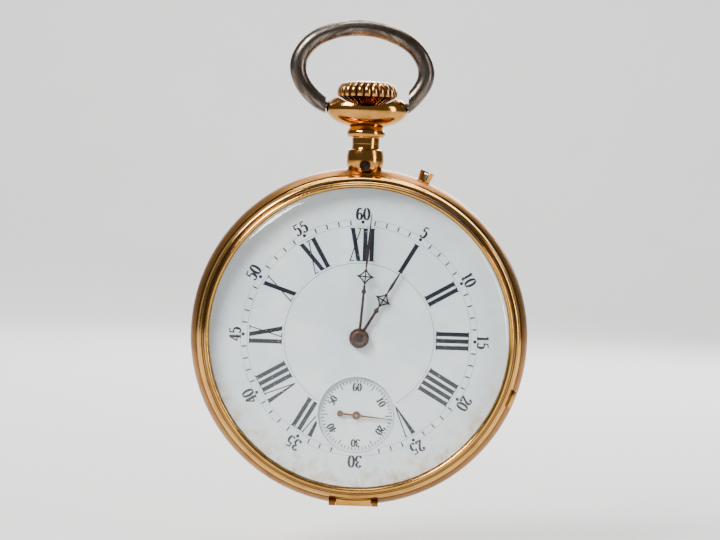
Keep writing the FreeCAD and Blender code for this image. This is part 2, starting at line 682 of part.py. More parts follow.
def spiral(centre, start_radius, end_radius, turns, thickness, level, start_clock):
    """Flat spiral spring, as one strip of even thickness."""
    count = int(turns * 12)
    sides = []
    for side in (-thickness / 2, thickness / 2):
        points = []
        for index in range(count + 1):
            share = index / count
            radius = start_radius + (end_radius - start_radius) * share + side
            x, z = polar(radius, start_clock + 360 * turns * share, centre)
            points.append(Vector(x, level[0], z))
        curve = Part.BSplineCurve()
        curve.interpolate(points)
        sides.append((curve.toShape(), points[0], points[-1]))
    inner, outer = sides
    edges = [
        inner[0], Part.makeLine(inner[2], outer[2]), outer[0], Part.makeLine(outer[1], inner[1])]
    face = Part.Face(Part.Wire(Part.__sortEdges__(edges)))
    return facing_out(face.extrude(Vector(0, level[1] - level[0], 0)))


def mainspring():
    return spiral(BARREL, 2.3, 7.0, 8.5, 0.2, (0.25, 1.25), 0)


# ---- going train ----

def centre_wheel():
    level = (1.75, 2.0)
    wheel = gear(CENTRE_TEETH, CENTRE_MODULE, level, CENTRE, 0)
    wheel = spoked(wheel, level, CENTRE, 1.3, 5.2, 5, 0.6)
    pinion = gear(CENTRE_PINION_TEETH, BARREL_MODULE, (-0.3, 0.25), CENTRE, CENTRE_PINION_PHASE)
    arbor = shaft(CENTRE, -4.9, (0.35, -1.75), (0.5, 2.25), (0.35, 2.9))
    return joined(wheel, pinion, arbor)


def third_wheel():
    level = (0.0, 0.2)
    wheel = gear(THIRD_TEETH, THIRD_MODULE, level, THIRD, 0)
    wheel = spoked(wheel, level, THIRD, 0.9, 4.2, 5, 0.5)
    pinion = gear(TRAIN_PINION_TEETH, CENTRE_MODULE, (1.6, 2.1), THIRD, THIRD_PINION_PHASE)
    arbor = shaft(THIRD, -0.75, (PIVOT_RADIUS, -0.3), (0.3, 2.25), (PIVOT_RADIUS, 2.7))
    return joined(wheel, pinion, arbor)


def fourth_wheel():
    level = (0.95, 1.15)
    wheel = gear(FOURTH_TEETH, FOURTH_MODULE, level, FOURTH, 0)
    wheel = spoked(wheel, level, FOURTH, 0.9, 4.1, 5, 0.5)
    pinion = gear(TRAIN_PINION_TEETH, THIRD_MODULE, (-0.1, 0.5), FOURTH, FOURTH_PINION_PHASE)
    arbor = shaft(
        FOURTH, -3.75, (PIVOT_RADIUS, -0.3), (0.3, 2.25), (PIVOT_RADIUS, 2.7))
    return joined(wheel, pinion, arbor)


def escape_wheel():
    level = (0.2, 0.4)
    step = 360 / ESCAPE_TEETH
    corners = []
    for tooth in range(ESCAPE_TEETH):
        tip = tooth * step
        corners.append(polar(2.3, tip - 9, ESCAPE))
        corners.append(polar(ESCAPE_RADIUS, tip, ESCAPE))
        corners.append(polar(ESCAPE_RADIUS - 0.12, tip + 3, ESCAPE))
        corners.append(polar(2.3, tip + 2, ESCAPE))
    wheel = spoked(flat(corners, level), level, ESCAPE, 0.7, 1.9, 4, 0.4)
    pinion = gear(ESCAPE_PINION_TEETH, FOURTH_MODULE, (0.8, 1.3), ESCAPE, ESCAPE_PINION_PHASE)
    arbor = shaft(ESCAPE, -0.75, (PIVOT_RADIUS, -0.3), (0.25, 2.25), (PIVOT_RADIUS, 2.7))
    return joined(wheel, pinion, arbor)


# ---- escapement and balance ----

FORK_Y = (0.2, 0.4)
STONE_SPREAD = 29.0     # each pallet stone's angle at the escape wheel's centre, from the pallet arbor
ROLLER_PIN_RADIUS = 0.75


def stone_clocks():
    towards = clock_angle(ESCAPE, PALLET)
    return towards - STONE_SPREAD, towards + STONE_SPREAD


def pallet_stones():
    stones = [
        bar(polar(ESCAPE_RADIUS + 0.06, clock, ESCAPE), polar(3.75, clock, ESCAPE), 0.32, FORK_Y)
        for clock in stone_clocks()]
    return Part.makeCompound(stones)


def pallet_fork():
    pieces = [shaft(PALLET, -0.7, (PIVOT_RADIUS, -0.3), (0.22, 0.72), (PIVOT_RADIUS, 1.05))]
    for clock in stone_clocks():
        end = polar(3.55, clock, ESCAPE)
        pieces.append(bar(PALLET, end, 0.7, FORK_Y, 0.6))
    towards = clock_angle(PALLET, BALANCE)
    reach = distance(PALLET, BALANCE) - ROLLER_PIN_RADIUS
    throat = polar(reach - 0.25, towards, PALLET)
    pieces.append(disc(0.5, FORK_Y, PALLET))
    pieces.append(bar(PALLET, throat, 0.55, FORK_Y, 0.35))
    for side in (-90, 90):
        horn = polar(0.27, towards + side, throat)
        pieces.append(bar(horn, polar(0.45, towards, horn), 0.2, FORK_Y))
    pieces.append(bar(polar(0.37, towards - 90, throat), polar(0.37, towards + 90, throat), 0.2, FORK_Y))
    return pieces[0].multiFuse(pieces[1:]).cut(pallet_stones()).removeSplitter()


def balance_staff():
    staff = shaft(
        BALANCE, -0.7, (PIVOT_RADIUS, -0.3), (0.35, 1.5), (0.45, 2.25), (0.5, 2.7), (0.3, 2.9),
        (PIVOT_RADIUS, 3.25))
    roller = disc(1.1, (0.5, 0.7), BALANCE)
    towards = clock_angle(BALANCE, PALLET)
    pin = disc(0.11, (0.2, 0.6), polar(ROLLER_PIN_RADIUS, towards, BALANCE))
    return joined(staff, roller, pin)


def balance_screws():
    screws = []
    for index in range(12):
        if index % 6 == 0:
            continue
        screw = rod(0.24, (BALANCE_RADIUS - 0.3, BALANCE_RADIUS + 0.45), 1.75)
        screws.append(at_clock(moved(screw, BALANCE), 30 * index, BALANCE))
    return Part.makeCompound(screws)


def balance_wheel():
    level = (1.5, 2.0)
    rim = disc(BALANCE_RADIUS, level, BALANCE, 5.5)
    arm = bar(polar(5.7, 0, BALANCE), polar(5.7, 180, BALANCE), 0.9, (1.6, 1.9))
    wheel = joined(rim, arm, disc(1.1, level, BALANCE))
    return wheel.cut(disc(0.45, level, BALANCE)).cut(balance_screws())


def hairspring():
    return spiral(BALANCE, 0.75, 3.05, 11, 0.05, (2.35, 2.65), COCK_CLOCK)


def hairspring_stud():
    return disc(0.28, (2.3, 2.95), polar(3.38, COCK_CLOCK, BALANCE))


COCK_FOOT = (15.6, -1.2)
COCK_CLOCK = clock_angle(BALANCE, COCK_FOOT)
COCK_Y = (2.95, 3.6)


def balance_cock():
    foot = disc(BRIDGE_RADIUS, (PLATE_Y[1], COCK_Y[1])).common(
        block((12.6, 21), (-1, 5), (-3.2, 1.9)))
    foot = foot.cut(disc(7.0, (-1, 2.8), BALANCE))
    arm = bar(BALANCE, (15.3, -1.6), 3.4, COCK_Y, 4.2)
    cock = joined(foot, arm, disc(2.55, COCK_Y, BALANCE))
    cock = cock.cut(disc(JEWEL_RADIUS, (2, 4), BALANCE))
    return cock.cut(bridge_screws())


def regulator():
    level = (COCK_Y[1] + 0.03, COCK_Y[1] + 0.25)
    away = COCK_CLOCK + 180
    collar = disc(1.9, level, BALANCE, 1.2)
    arm = bar(polar(1.7, away, BALANCE), polar(4.6, away, BALANCE), 0.9, level, 0.3)
    pins = [disc(0.08, (2.35, level[1]), polar(3.05 + side, away, BALANCE)) for side in (-0.16, 0.14)]
    return joined(collar, arm, *pins)


def jewels():
    low = (PLATE_Y[1] - 0.4, PLATE_Y[1])
    high = (BRIDGE_Y[0], BRIDGE_Y[0] + 0.4)
    hole = PIVOT_RADIUS + 0.03
    rings = [disc(JEWEL_RADIUS, low, place, hole) for place in (THIRD, FOURTH, ESCAPE, PALLET, BALANCE)]
    rings += [disc(JEWEL_RADIUS, high, place, hole) for place in (THIRD, FOURTH, ESCAPE)]
    rings.append(disc(0.45, (0.75, 1.05), PALLET, hole))
    rings.append(disc(JEWEL_RADIUS, (2.95, 3.35), BALANCE, hole))
    return Part.makeCompound(rings)


def pallet_cock():
    level = (0.75, 1.15)
    top = joined(
        disc(0.9, level, PALLET), bar(PALLET, PALLET_FOOT, 1.5, level), disc(1.0, level, PALLET_FOOT))
    cock = top.fuse(disc(1.0, (PLATE_Y[1], level[0]), PALLET_FOOT))
    cock = cock.cut(disc(0.45, (0, 2), PALLET))
    return cock.cut(pallet_cock_screw()).removeSplitter()


def pallet_cock_screw():
    return shaft(PALLET_FOOT, -1.0, (0.3, 1.15), (0.6, 1.38)).cut(
        bar(polar(1, 90, PALLET_FOOT), polar(1, 270, PALLET_FOOT), 0.2, (1.28, 2)))


# ---- plate and bridges ----

def bridge_screws():
    screws = []
    for index, place in enumerate(BRIDGE_SCREWS):
        screw = shaft(place, -0.9, (SCREW_RADIUS, 3.1), (0.85, 3.55))
        slot_clock = 37 * index
        slot = bar(polar(1, slot_clock, place), polar(1, slot_clock + 180, place), 0.25, (3.4, 3.7))
        screws.append(screw.cut(slot))
    return Part.makeCompound(screws)


def case_screws():
    screws = []
    for clock in CASE_SCREW_CLOCK:
        place = polar(CASE_SCREW_RADIUS, clock)
        screw = shaft(place, -0.9, (0.5, 1.47), (1.3, 1.9))
        slot = bar(polar(2, clock + 60, place), polar(2, clock + 240, place), 0.3, (1.75, 2))
        screws.append(screw.cut(slot))
    return Part.makeCompound(screws)


def clutch_room():
    """Space around the stem, the clutch and the winding pinion."""
    side = CLUTCH_RADIUS + 0.15
    wide = PINION_RADIUS + 0.15
    return joined(
        rod(0.38, (12.2, 14.0)), rod(STEM_RADIUS + 0.06, (17, 23)),
        block((-side, side), (-2, FLOOR_Y - 0.02), (13.8, 16.6)),
        block((-wide, wide), (-2.7, BRIDGE_Y[0] + 0.01), (16.42, 17.5)))


def button_room():
    return at_clock(rod(0.7, (17.7, 23)), BUTTON_CLOCK)


def main_plate():
    plate = turned([
        (0, PLATE_Y[0]), (20.4, PLATE_Y[0]), (20.4, -2.35), (20.6, -2.35), (20.6, DIAL_Y[1]),
        (21.5, DIAL_Y[1]), (21.5, -2.35), (FLANGE_RADIUS, -2.35), (FLANGE_RADIUS, PLATE_Y[0]),
        (21.0, PLATE_Y[0]), (21.0, PLATE_Y[1]), (0, PLATE_Y[1])])
    posts = [disc(0.3, (-2.75, PLATE_Y[0]), MINUTE), disc(0.3, (-2.2, PLATE_Y[0]), SETTING)]
    posts.append(disc(0.45, (PLATE_Y[1], 0.4), YOKE_PIVOT))
    for clock in CASE_SCREW_CLOCK:
        posts.append(disc(0.75, (PLATE_Y[1], 1.4), polar(CASE_SCREW_RADIUS, clock)))
    plate = plate.multiFuse(posts)
    through = (PLATE_Y[0] - 0.1, PLATE_Y[1] + 0.1)
    holes = [disc(JEWEL_RADIUS, through, place) for place in (THIRD, FOURTH, ESCAPE, PALLET, BALANCE)]
    holes.append(disc(0.55, through, CENTRE))
    holes.append(disc(0.63, through, BARREL))
    holes += [clutch_room(), button_room(), dial_feet(), pallet_cock_screw(), bridge_screws(), case_screws()]
    for hole in holes:
        plate = plate.cut(hole)
    return plate.removeSplitter()


def screw_notches():
    level = (-1, 5)
    return [disc(1.42, level, polar(CASE_SCREW_RADIUS, clock)) for clock in CASE_SCREW_CLOCK]


def barrel_bridge():
    whole = disc(BRIDGE_RADIUS, (PLATE_Y[1], BRIDGE_Y[1]))
    top = whole.common(joined(
        block((-21, 11.9), (BRIDGE_Y[0], BRIDGE_Y[1]), (BRIDGE_SPLIT_Z, 21)),
        block((-21, 21), (BRIDGE_Y[0], BRIDGE_Y[1]), (2.1, 21))))
    under = whole.common(block((-21, 21), (PLATE_Y[1], BRIDGE_Y[0]), (3, 21)))
    under = under.cut(disc(8.7, (-1, 3), BARREL)).cut(disc(6.6, (-1, 3), CENTRE))
    under = under.cut(block((1.5, 14), (-1, 0.45), (11.6, 21)))
    bridge = top.fuse(under)
    pocket = disc(3.4, (BRIDGE_Y[0], 4), CROWN_WHEEL, 0.9)
    cuts = [pocket, clutch_room(), button_room(), disc(0.93, (2, 4), BARREL), disc(0.38, (2, 4), CENTRE)]
    cuts += screw_notches()
    for cut in cuts:
        bridge = bridge.cut(cut)
    posts = [
        disc(0.9, (FLOOR_Y, 3.88), CROWN_WHEEL), disc(0.4, (BRIDGE_Y[1] - 0.1, 3.95), CLICK_PIVOT)]
    bridge = bridge.multiFuse(posts)
    return bridge.cut(crown_wheel_screw()).cut(bridge_screws()).removeSplitter()


def train_bridge():
    whole = disc(BRIDGE_RADIUS, (PLATE_Y[1], BRIDGE_Y[1]))
    low = (-21, BRIDGE_SPLIT_Z - 0.3)
    top = whole.common(block((-21, 21), BRIDGE_Y, low)).cut(disc(5.7, (-1, 4), BALANCE))
    top = top.cut(block((4.5, 21), (-1, 4), (-9, 0))).cut(block((7.2, 21), (-1, 4), (-21, 0)))
    under = whole.common(block((-21, 7.2), (PLATE_Y[1], BRIDGE_Y[0]), low))
    clearances = (
        (8.7, BARREL), (6.6, CENTRE), (5.3, THIRD), (5.3, FOURTH), (3.6, ESCAPE), (7.0, BALANCE),
        (1.3, PALLET_FOOT))
    for radius, place in clearances:
        under = under.cut(disc(radius, (-1, 3), place))
    bridge = top.fuse(under)
    for hole in [disc(JEWEL_RADIUS, (2, 4), place) for place in (THIRD, FOURTH, ESCAPE)] + screw_notches():
        bridge = bridge.cut(hole)
    return bridge.cut(bridge_screws()).removeSplitter()


# ---- dial, motion work and hands ----

def dial():
    return disc(DIAL_RADIUS, DIAL_Y).cut(disc(0.95, DIAL_Y, CENTRE)).cut(disc(SINK_RADIUS, DIAL_Y, FOURTH))


def seconds_subdial():
    plate = shaft(FOURTH, SUBDIAL_Y[0], (SINK_RADIUS - 0.03, DIAL_Y[1]), (SINK_RADIUS + 0.6, SUBDIAL_Y[1]))
    return plate.cut(disc(0.4, (-4, -2), FOURTH))


def dial_feet():
    level = (DIAL_Y[1], -0.9)
    return Part.makeCompound([disc(0.4, level, polar(DIAL_FEET_RADIUS, clock)) for clock in DIAL_FEET_CLOCK])


def cannon_pinion():
    leaves = gear(CANNON_TEETH, MOTION_MODULE, (-2.25, -1.8), CENTRE, 0)
    pipe = shaft(CENTRE, -4.75, (0.5, MINUTE_HAND_Y[1]), (0.6, -1.8))
    return leaves.fuse(pipe).cut(disc(0.37, (-5, -1), CENTRE)).removeSplitter()


def hour_wheel():
    level = (-2.55, -2.3)
    wheel = gear(HOUR_TEETH, HOUR_MODULE, level, CENTRE, HOUR_PHASE)
    pipe = disc(0.85, (-4.2, level[1]), CENTRE)
    return wheel.fuse(pipe).cut(disc(0.65, (-5, -2), CENTRE)).removeSplitter()


def minute_wheel():
    wheel = gear(MINUTE_TEETH, MOTION_MODULE, (-2.05, -1.8), MINUTE, MINUTE_PHASE)
    pinion = gear(MINUTE_PINION_TEETH, HOUR_MODULE, (-2.7, -2.0), MINUTE, 0)
    return wheel.fuse(pinion).cut(disc(0.33, (-3, -1), MINUTE)).removeSplitter()


def setting_wheel():
    wheel = gear(SETTING_TEETH, MOTION_MODULE, (-2.05, -1.8), SETTING, SETTING_PHASE)
    return wheel.cut(disc(0.33, (-3, -1), SETTING))


def star(centre_z, half_length, half_width, level):
    """Pierced four-pointed star with hollow sides and a cross inside."""
    def diamond(scale):
        points = [(0, half_length * scale), (half_width * scale, 0), (0, -half_length * scale),
                  (-half_width * scale, 0)]
        hollow = 0.34 * scale
        middles = [(half_width * hollow * sx, half_length * hollow * sz)
                   for sx, sz in ((1, 1), (1, -1), (-1, -1), (-1, 1))]
        steps = [(points[0][0], centre_z + points[0][1])]
        for index in range(4):
            through = middles[index]
            end = points[(index + 1) % 4]
            steps.append(((through[0], centre_z + through[1]), (end[0], centre_z + end[1])))
        return steps
    outer = closed_curve(diamond(1.0), level)
    inner = closed_curve(diamond(0.7), level)
    cross = [bar((0, centre_z - half_length * 0.8), (0, centre_z + half_length * 0.8), 0.2, level),
             bar((-half_width * 0.8, centre_z), (half_width * 0.8, centre_z), 0.2, level)]
    return outer.cut(inner).multiFuse(cross)


def closed_curve(steps, level):
    """Plate bounded by arcs only: a first point, then (point on the arc, end) pairs back to it."""
    here = Vector(steps[0][0], level[0], steps[0][1])
    edges = []
    for through, end in steps[1:]:
        finish = Vector(end[0], level[0], end[1])
        edges.append(Part.Arc(here, Vector(through[0], level[0], through[1]), finish).toShape())
        here = finish
    return facing_out(Part.Face(Part.Wire(edges)).extrude(Vector(0, level[1] - level[0], 0)))


def minute_hand():
    level = MINUTE_HAND_Y
    hand = joined(
        disc(1.3, level), disc(0.35, level, (0, 6.9)), bar((0, 1), (0, 7.8), 0.42, level, 0.34),
        star(9.1, 1.55, 1.45, level), bar((0, 10.3), (0, 12.2), 0.2, level, 0.45),
        bar((0, 12.2), (0, 18.4), 0.45, level, 0.1))
    return at_clock(hand.cut(disc(0.5, level)), MINUTE_CLOCK)


def hour_hand():
    level = HOUR_HAND_Y
    hand = joined(
        disc(1.47, level), disc(0.36, level, (0, 4.75)), bar((0, 1.2), (0, 5.3), 0.46, level, 0.36),
        star(6.6, 1.6, 1.4, level), bar((0, 7.9), (0, 8.9), 0.22, level, 0.46),
        bar((0, 8.9), (0, 12.0), 0.46, level, 0.08))
    return at_clock(hand.cut(disc(0.85, level)), HOUR_CLOCK)


def seconds_hand():
    level = SECOND_HAND_Y
    tail = (0, -2.4)
    hand = joined(
        disc(0.62, level), bar((0, 0), (0, 5.4), 0.3, level, 0.08), bar((0, 0), tail, 0.27, level),
        disc(0.47, level, tail), disc(0.32, (level[0], -3.25)))
    hand = hand.cut(disc(PIVOT_RADIUS, (-4, -3)))
    return moved(at_clock(hand, SECOND_CLOCK), FOURTH)


# ---- saving ----

NODES = (
    bow, case_middle, pendant, pendant_screw, set_guard, case_screws, dial, seconds_subdial, dial_feet,
    main_plate, barrel_bridge, train_bridge, balance_cock, pallet_cock, pallet_cock_screw, bridge_screws,
    jewels, regulator, hairspring, hairspring_stud, mainspring, click, click_spring, yoke, yoke_spring,
    barrel_drum, barrel_cover, barrel_arbor, ratchet_wheel, ratchet_screw, centre_wheel, cannon_pinion,
    minute_hand, hour_wheel, hour_hand, minute_wheel, setting_wheel, third_wheel, fourth_wheel,
    seconds_hand, escape_wheel, pallet_fork, pallet_stones, balance_wheel, balance_screws, balance_staff,
    crown_wheel, crown_wheel_screw, winding_pinion, clutch, winding_stem, crown, set_button,
    set_button_spring, bezel, crystal, cuvette, back_cover)


def save(name, shape):
    placed = shape.copy()
    placed.translate(Vector(0, 0, -HANG))
    placed.exportStep("parts/" + name + ".step")


os.makedirs("parts", exist_ok=True)
for make in NODES:
    save(make.__name__, make())
save("bezel_hinge_pin", hinge_pin(-PARTING_Y))
save("rear_hinge_pin", hinge_pin(PARTING_Y))
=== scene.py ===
import bmesh
import bpy
import json
import math
from mathutils import Matrix, Vector


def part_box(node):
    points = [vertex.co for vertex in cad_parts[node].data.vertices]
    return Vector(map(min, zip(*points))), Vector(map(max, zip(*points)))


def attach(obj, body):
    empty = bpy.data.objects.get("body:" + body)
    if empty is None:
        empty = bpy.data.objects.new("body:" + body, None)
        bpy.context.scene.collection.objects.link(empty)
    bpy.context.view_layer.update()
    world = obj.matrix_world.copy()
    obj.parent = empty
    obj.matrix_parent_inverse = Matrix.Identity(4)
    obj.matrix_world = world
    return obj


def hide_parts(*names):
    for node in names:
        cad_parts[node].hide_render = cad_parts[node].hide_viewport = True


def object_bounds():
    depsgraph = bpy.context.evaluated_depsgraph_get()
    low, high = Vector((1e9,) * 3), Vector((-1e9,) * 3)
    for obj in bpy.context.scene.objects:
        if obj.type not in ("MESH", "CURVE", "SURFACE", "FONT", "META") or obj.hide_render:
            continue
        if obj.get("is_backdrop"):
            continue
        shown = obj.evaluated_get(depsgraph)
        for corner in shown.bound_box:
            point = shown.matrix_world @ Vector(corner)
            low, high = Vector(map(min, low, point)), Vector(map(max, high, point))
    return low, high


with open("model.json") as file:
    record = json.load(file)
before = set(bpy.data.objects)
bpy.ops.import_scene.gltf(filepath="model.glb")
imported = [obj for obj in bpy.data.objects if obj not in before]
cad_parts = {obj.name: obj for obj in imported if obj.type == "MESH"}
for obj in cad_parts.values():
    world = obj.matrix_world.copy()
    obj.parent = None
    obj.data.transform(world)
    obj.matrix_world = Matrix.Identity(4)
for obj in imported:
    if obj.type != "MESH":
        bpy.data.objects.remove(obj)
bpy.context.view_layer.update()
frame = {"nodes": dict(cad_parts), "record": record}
nodes = frame["nodes"]

# Lengths below are in millimetres, and MM turns them into the scene's metres.
# Angles marked "clock" are in degrees clockwise from 12 o'clock, seen from the front, which faces -Y.
MM = 0.001
RIBS = 24                   # round the crown
DIAL_RIM = 21.6
SUBDIAL_RIM = 9.5


def middle(node):
    low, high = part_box(node)
    return (low + high) / 2 / MM


DIAL = middle("dial")
DIAL_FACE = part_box("dial")[0].y / MM
SUBDIAL = middle("seconds_subdial")
SUBDIAL_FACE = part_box("seconds_subdial")[0].y / MM
BOW = middle("bow")


# ---- materials ----

class Look:
    """A node material. Its texture coordinates are the piece's own place, in millimetres."""

    def __init__(self, name):
        self.material = bpy.data.materials.new(name)
        self.material.use_nodes = True
        self.tree = self.material.node_tree
        self.surface = self.tree.nodes["Principled BSDF"]
        where = self.add("ShaderNodeTexCoord")
        self.place = self.vector("SCALE", where.outputs["Object"], scale=1 / MM)

    def add(self, kind, **settings):
        node = self.tree.nodes.new(kind)
        for key, value in settings.items():
            setattr(node, key, value)
        return node

    def feed(self, socket, value):
        if isinstance(value, bpy.types.NodeSocket):
            self.tree.links.new(value, socket)
        elif isinstance(value, tuple) and socket.type == "RGBA":
            socket.default_value = value + (1,)
        else:
            socket.default_value = value

    def vector(self, operation, first, second=None, scale=None):
        node = self.add("ShaderNodeVectorMath", operation=operation)
        self.feed(node.inputs[0], first)
        if second is not None:
            self.feed(node.inputs[1], second)
        if scale is not None:
            node.inputs["Scale"].default_value = scale
        return node.outputs["Value" if operation in ("LENGTH", "DISTANCE") else "Vector"]

    def sum(self, operation, first, second=0.0):
        node = self.add("ShaderNodeMath", operation=operation)
        self.feed(node.inputs[0], first)
        self.feed(node.inputs[1], second)
        return node.outputs[0]

    def noise(self, scale, detail=4.0, where=None, rough=0.6):
        node = self.add("ShaderNodeTexNoise")
        self.feed(node.inputs["Vector"], where or self.place)
        node.inputs["Scale"].default_value = scale
        node.inputs["Detail"].default_value = detail
        node.inputs["Roughness"].default_value = rough
        return node.outputs["Fac"]

    def cells(self, scale):
        node = self.add("ShaderNodeTexVoronoi")
        self.feed(node.inputs["Vector"], self.place)
        node.inputs["Scale"].default_value = scale
        return node.outputs["Distance"]

    def spread(self, value, low, high, start=0.0, end=1.0):
        """start below low, end above high, and a smooth change between."""
        node = self.add("ShaderNodeMapRange", interpolation_type="SMOOTHSTEP")
        self.feed(node.inputs["Value"], value)
        node.inputs["From Min"].default_value = low
        node.inputs["From Max"].default_value = high
        node.inputs["To Min"].default_value = start
        node.inputs["To Max"].default_value = end
        return node.outputs["Result"]

    def mix(self, share, first, second):
        node = self.add("ShaderNodeMix", data_type="RGBA")
        self.feed(node.inputs["Factor"], share)
        self.feed(node.inputs[6], first)
        self.feed(node.inputs[7], second)
        return node.outputs[2]

    def around(self, centre=DIAL):
        """(radius, y, angle) about an axis along Y, for turned and circular finishes."""
        apart = self.add("ShaderNodeSeparateXYZ")
        self.feed(apart.inputs[0], self.vector("SUBTRACT", self.place, (centre.x, 0.0, centre.z)))
        x, y, z = apart.outputs
        radius = self.sum("SQRT", self.sum("ADD", self.sum("MULTIPLY", x, x), self.sum("MULTIPLY", z, z)))
        angle = self.sum("ARCTAN2", x, z)
        return radius, y, angle, x, z

    def joined(self, x, y, z):
        node = self.add("ShaderNodeCombineXYZ")
        for socket, value in zip(node.inputs, (x, y, z)):
            self.feed(socket, value)
        return node.outputs[0]

    def bump(self, height, distance, strength=1.0):
        node = self.add("ShaderNodeBump")
        node.inputs["Strength"].default_value = strength
        node.inputs["Distance"].default_value = distance * MM
        self.feed(node.inputs["Height"], height)
        before = self.surface.inputs["Normal"]
        if before.is_linked:
            self.feed(node.inputs["Normal"], before.links[0].from_socket)
        self.feed(before, node.outputs[0])

    def set(self, **values):
        for key, value in values.items():
            self.feed(self.surface.inputs[key.replace("_", " ")], value)
        return self


def worn_metal(name, bright, dull, polish, satin, turned_finish=0.0, grain=0.0, shaded_grooves=()):
    """Metal with dull clouds and fine hairlines. Turned metal has tool rings about the watch's axis.
    Painted shade, a near-black colour, is painted along each given groove radius."""
    look = Look(name)
    clouds = look.noise(0.35, 5)
    fine = look.noise(6.0, 4)
    stretch = look.vector("MULTIPLY", look.place, (9.0, 9.0, 0.6))
    hairs = look.noise(1.5, 3, stretch)
    dirt = look.sum("MULTIPLY", look.spread(clouds, 0.36, 0.86), look.spread(fine, 0.3, 0.65, 0.7, 1.0))
    colour = look.mix(dirt, bright, dull)
    for groove in shaded_grooves:
        radius, *_ = look.around()
        apart = look.sum("ABSOLUTE", look.sum("SUBTRACT", radius, groove))
        # Painted shade: near black on each groove radius, where shade falls in each groove of the bezel.
        colour = look.mix(look.spread(apart, 0.05, 0.18, 0.95, 0.0), colour, (0.06, 0.022, 0.007))
    look.set(Metallic=1.0, Base_Color=colour)
    worn_rough = look.spread(dirt, 0.0, 1.0, polish, satin)
    hair_rough = look.spread(hairs, 0.5, 0.8, 0.0, 0.06)
    look.set(Roughness=look.sum("ADD", worn_rough, hair_rough))
    look.bump(hairs, 0.004)
    if turned_finish:
        radius, y, angle, *_ = look.around()
        cuts = look.joined(look.sum("MULTIPLY", radius, 14.0), look.sum("MULTIPLY", y, 14.0),
                           look.sum("MULTIPLY", angle, 3.0))
        look.bump(look.noise(1.0, 3, cuts), turned_finish)
    if grain:
        look.bump(look.noise(22.0, 2), grain)
    return look.material


def ribbed_metal(name, bright, groove):
    """Polished gold, worn on the ribs of the crown, with painted shade between them."""
    look = Look(name)
    apart = look.add("ShaderNodeSeparateXYZ")
    look.feed(apart.inputs[0], look.place)
    x, y, _ = apart.outputs
    turn = look.sum("MULTIPLY", look.sum("ARCTAN2", x, y), RIBS / 2)
    rib = look.sum("ABSOLUTE", look.sum("COSINE", turn))
    squares = look.sum("ADD", look.sum("MULTIPLY", x, x), look.sum("MULTIPLY", y, y))
    radius = look.sum("SQRT", squares)
    # Painted shade: the groove colour, near black, is painted between the ribs, where shade falls.
    between = look.sum("MULTIPLY", look.spread(rib, 0.35, 0.75, 1.0, 0.0), look.spread(radius, 2.0, 3.0))
    clouds = look.spread(look.noise(0.5, 4), 0.4, 0.7)
    ribs = look.mix(clouds, bright, (0.42, 0.17, 0.045))
    look.set(Metallic=1.0, Base_Color=look.mix(between, ribs, groove))
    look.set(Roughness=look.spread(between, 0.0, 1.0, 0.14, 0.4))
    look.bump(look.noise(3.0, 2), 0.003)
    return look.material


def enamel(name, centre, rim):
    """Fired white enamel: faintly clouded, freckled and stained brown towards its lower rim."""
    look = Look(name)
    radius, *_, z = look.around(centre)
    clouds = look.noise(0.12, 4)
    white = look.mix(look.spread(clouds, 0.35, 0.7), (0.50, 0.555, 0.58), (0.60, 0.635, 0.63))
    edge = look.spread(radius, rim * 0.80, rim * 0.99)
    low = look.spread(z, -rim * 0.9, rim * 0.1, 1.0, 0.06)
    patches = look.spread(look.noise(0.55, 6), 0.42, 0.66)
    stain = look.sum("MULTIPLY", look.sum("MULTIPLY", edge, low), patches)
    white = look.mix(look.sum("MULTIPLY", stain, 0.8), white, (0.40, 0.29, 0.15))
    freckles = look.spread(look.cells(1.1), 0.07, 0.12, 1.0, 0.0)
    freckles = look.sum("MULTIPLY", freckles, look.spread(look.noise(0.4, 3), 0.50, 0.62))
    strength = look.sum("ADD", 0.22, look.sum("MULTIPLY", edge, look.spread(z, -rim, rim, 0.8, 0.25)))
    white = look.mix(look.sum("MULTIPLY", freckles, strength), white, (0.20, 0.12, 0.06))
    from_crack = look.sum("ABSOLUTE", look.sum("SUBTRACT", look.noise(0.22, 2), 0.5))
    hairline = look.spread(from_crack, 0.0008, 0.0024, 1.0, 0.0)
    hairline = look.sum("MULTIPLY", hairline, look.spread(look.noise(0.16, 2, rough=0.4), 0.56, 0.64))
    white = look.mix(look.sum("MULTIPLY", hairline, 0.35), white, (0.30, 0.27, 0.24))
    look.set(Base_Color=white, Roughness=look.spread(clouds, 0.3, 0.7, 0.16, 0.28), Coat_Weight=0.5)
    look.bump(look.noise(0.5, 3), 0.012)
    look.bump(look.noise(9.0, 2), 0.0012)
    return look.material


def ink(name, colour, worn, depth):
    """Fired black print with small chips."""
    look = Look(name)
    chips = look.spread(look.noise(3.2, 3), worn, worn + 0.03)
    tone = look.mix(look.noise(1.2, 3), colour, tuple(depth * part for part in colour))
    look.set(Base_Color=look.mix(chips, tone, (0.48, 0.52, 0.53)), Specular_IOR_Level=0.15)
    look.set(Roughness=look.spread(chips, 0, 1, 0.45, 0.6))
    look.bump(look.noise(7.0, 2), 0.004)
    return look.material


def rusty(name, rust, dark, change):
    """Blued steel gone brown: rust near the hub, dark further out, from radius change[0] to change[1]."""
    look = Look(name)
    radius, *_ = look.around()
    out = look.spread(radius, *change)
    spots = look.spread(look.noise(2.6, 5), 0.40, 0.62)
    colour = look.mix(out, look.mix(spots, rust, dark), look.mix(spots, dark, (0.030, 0.018, 0.014)))
    look.set(Base_Color=colour, Metallic=0.25, Specular_IOR_Level=0.2)
    look.set(Roughness=look.spread(spots, 0, 1, 0.36, 0.6))
    look.bump(look.noise(9.0, 3), 0.01)
    return look.material


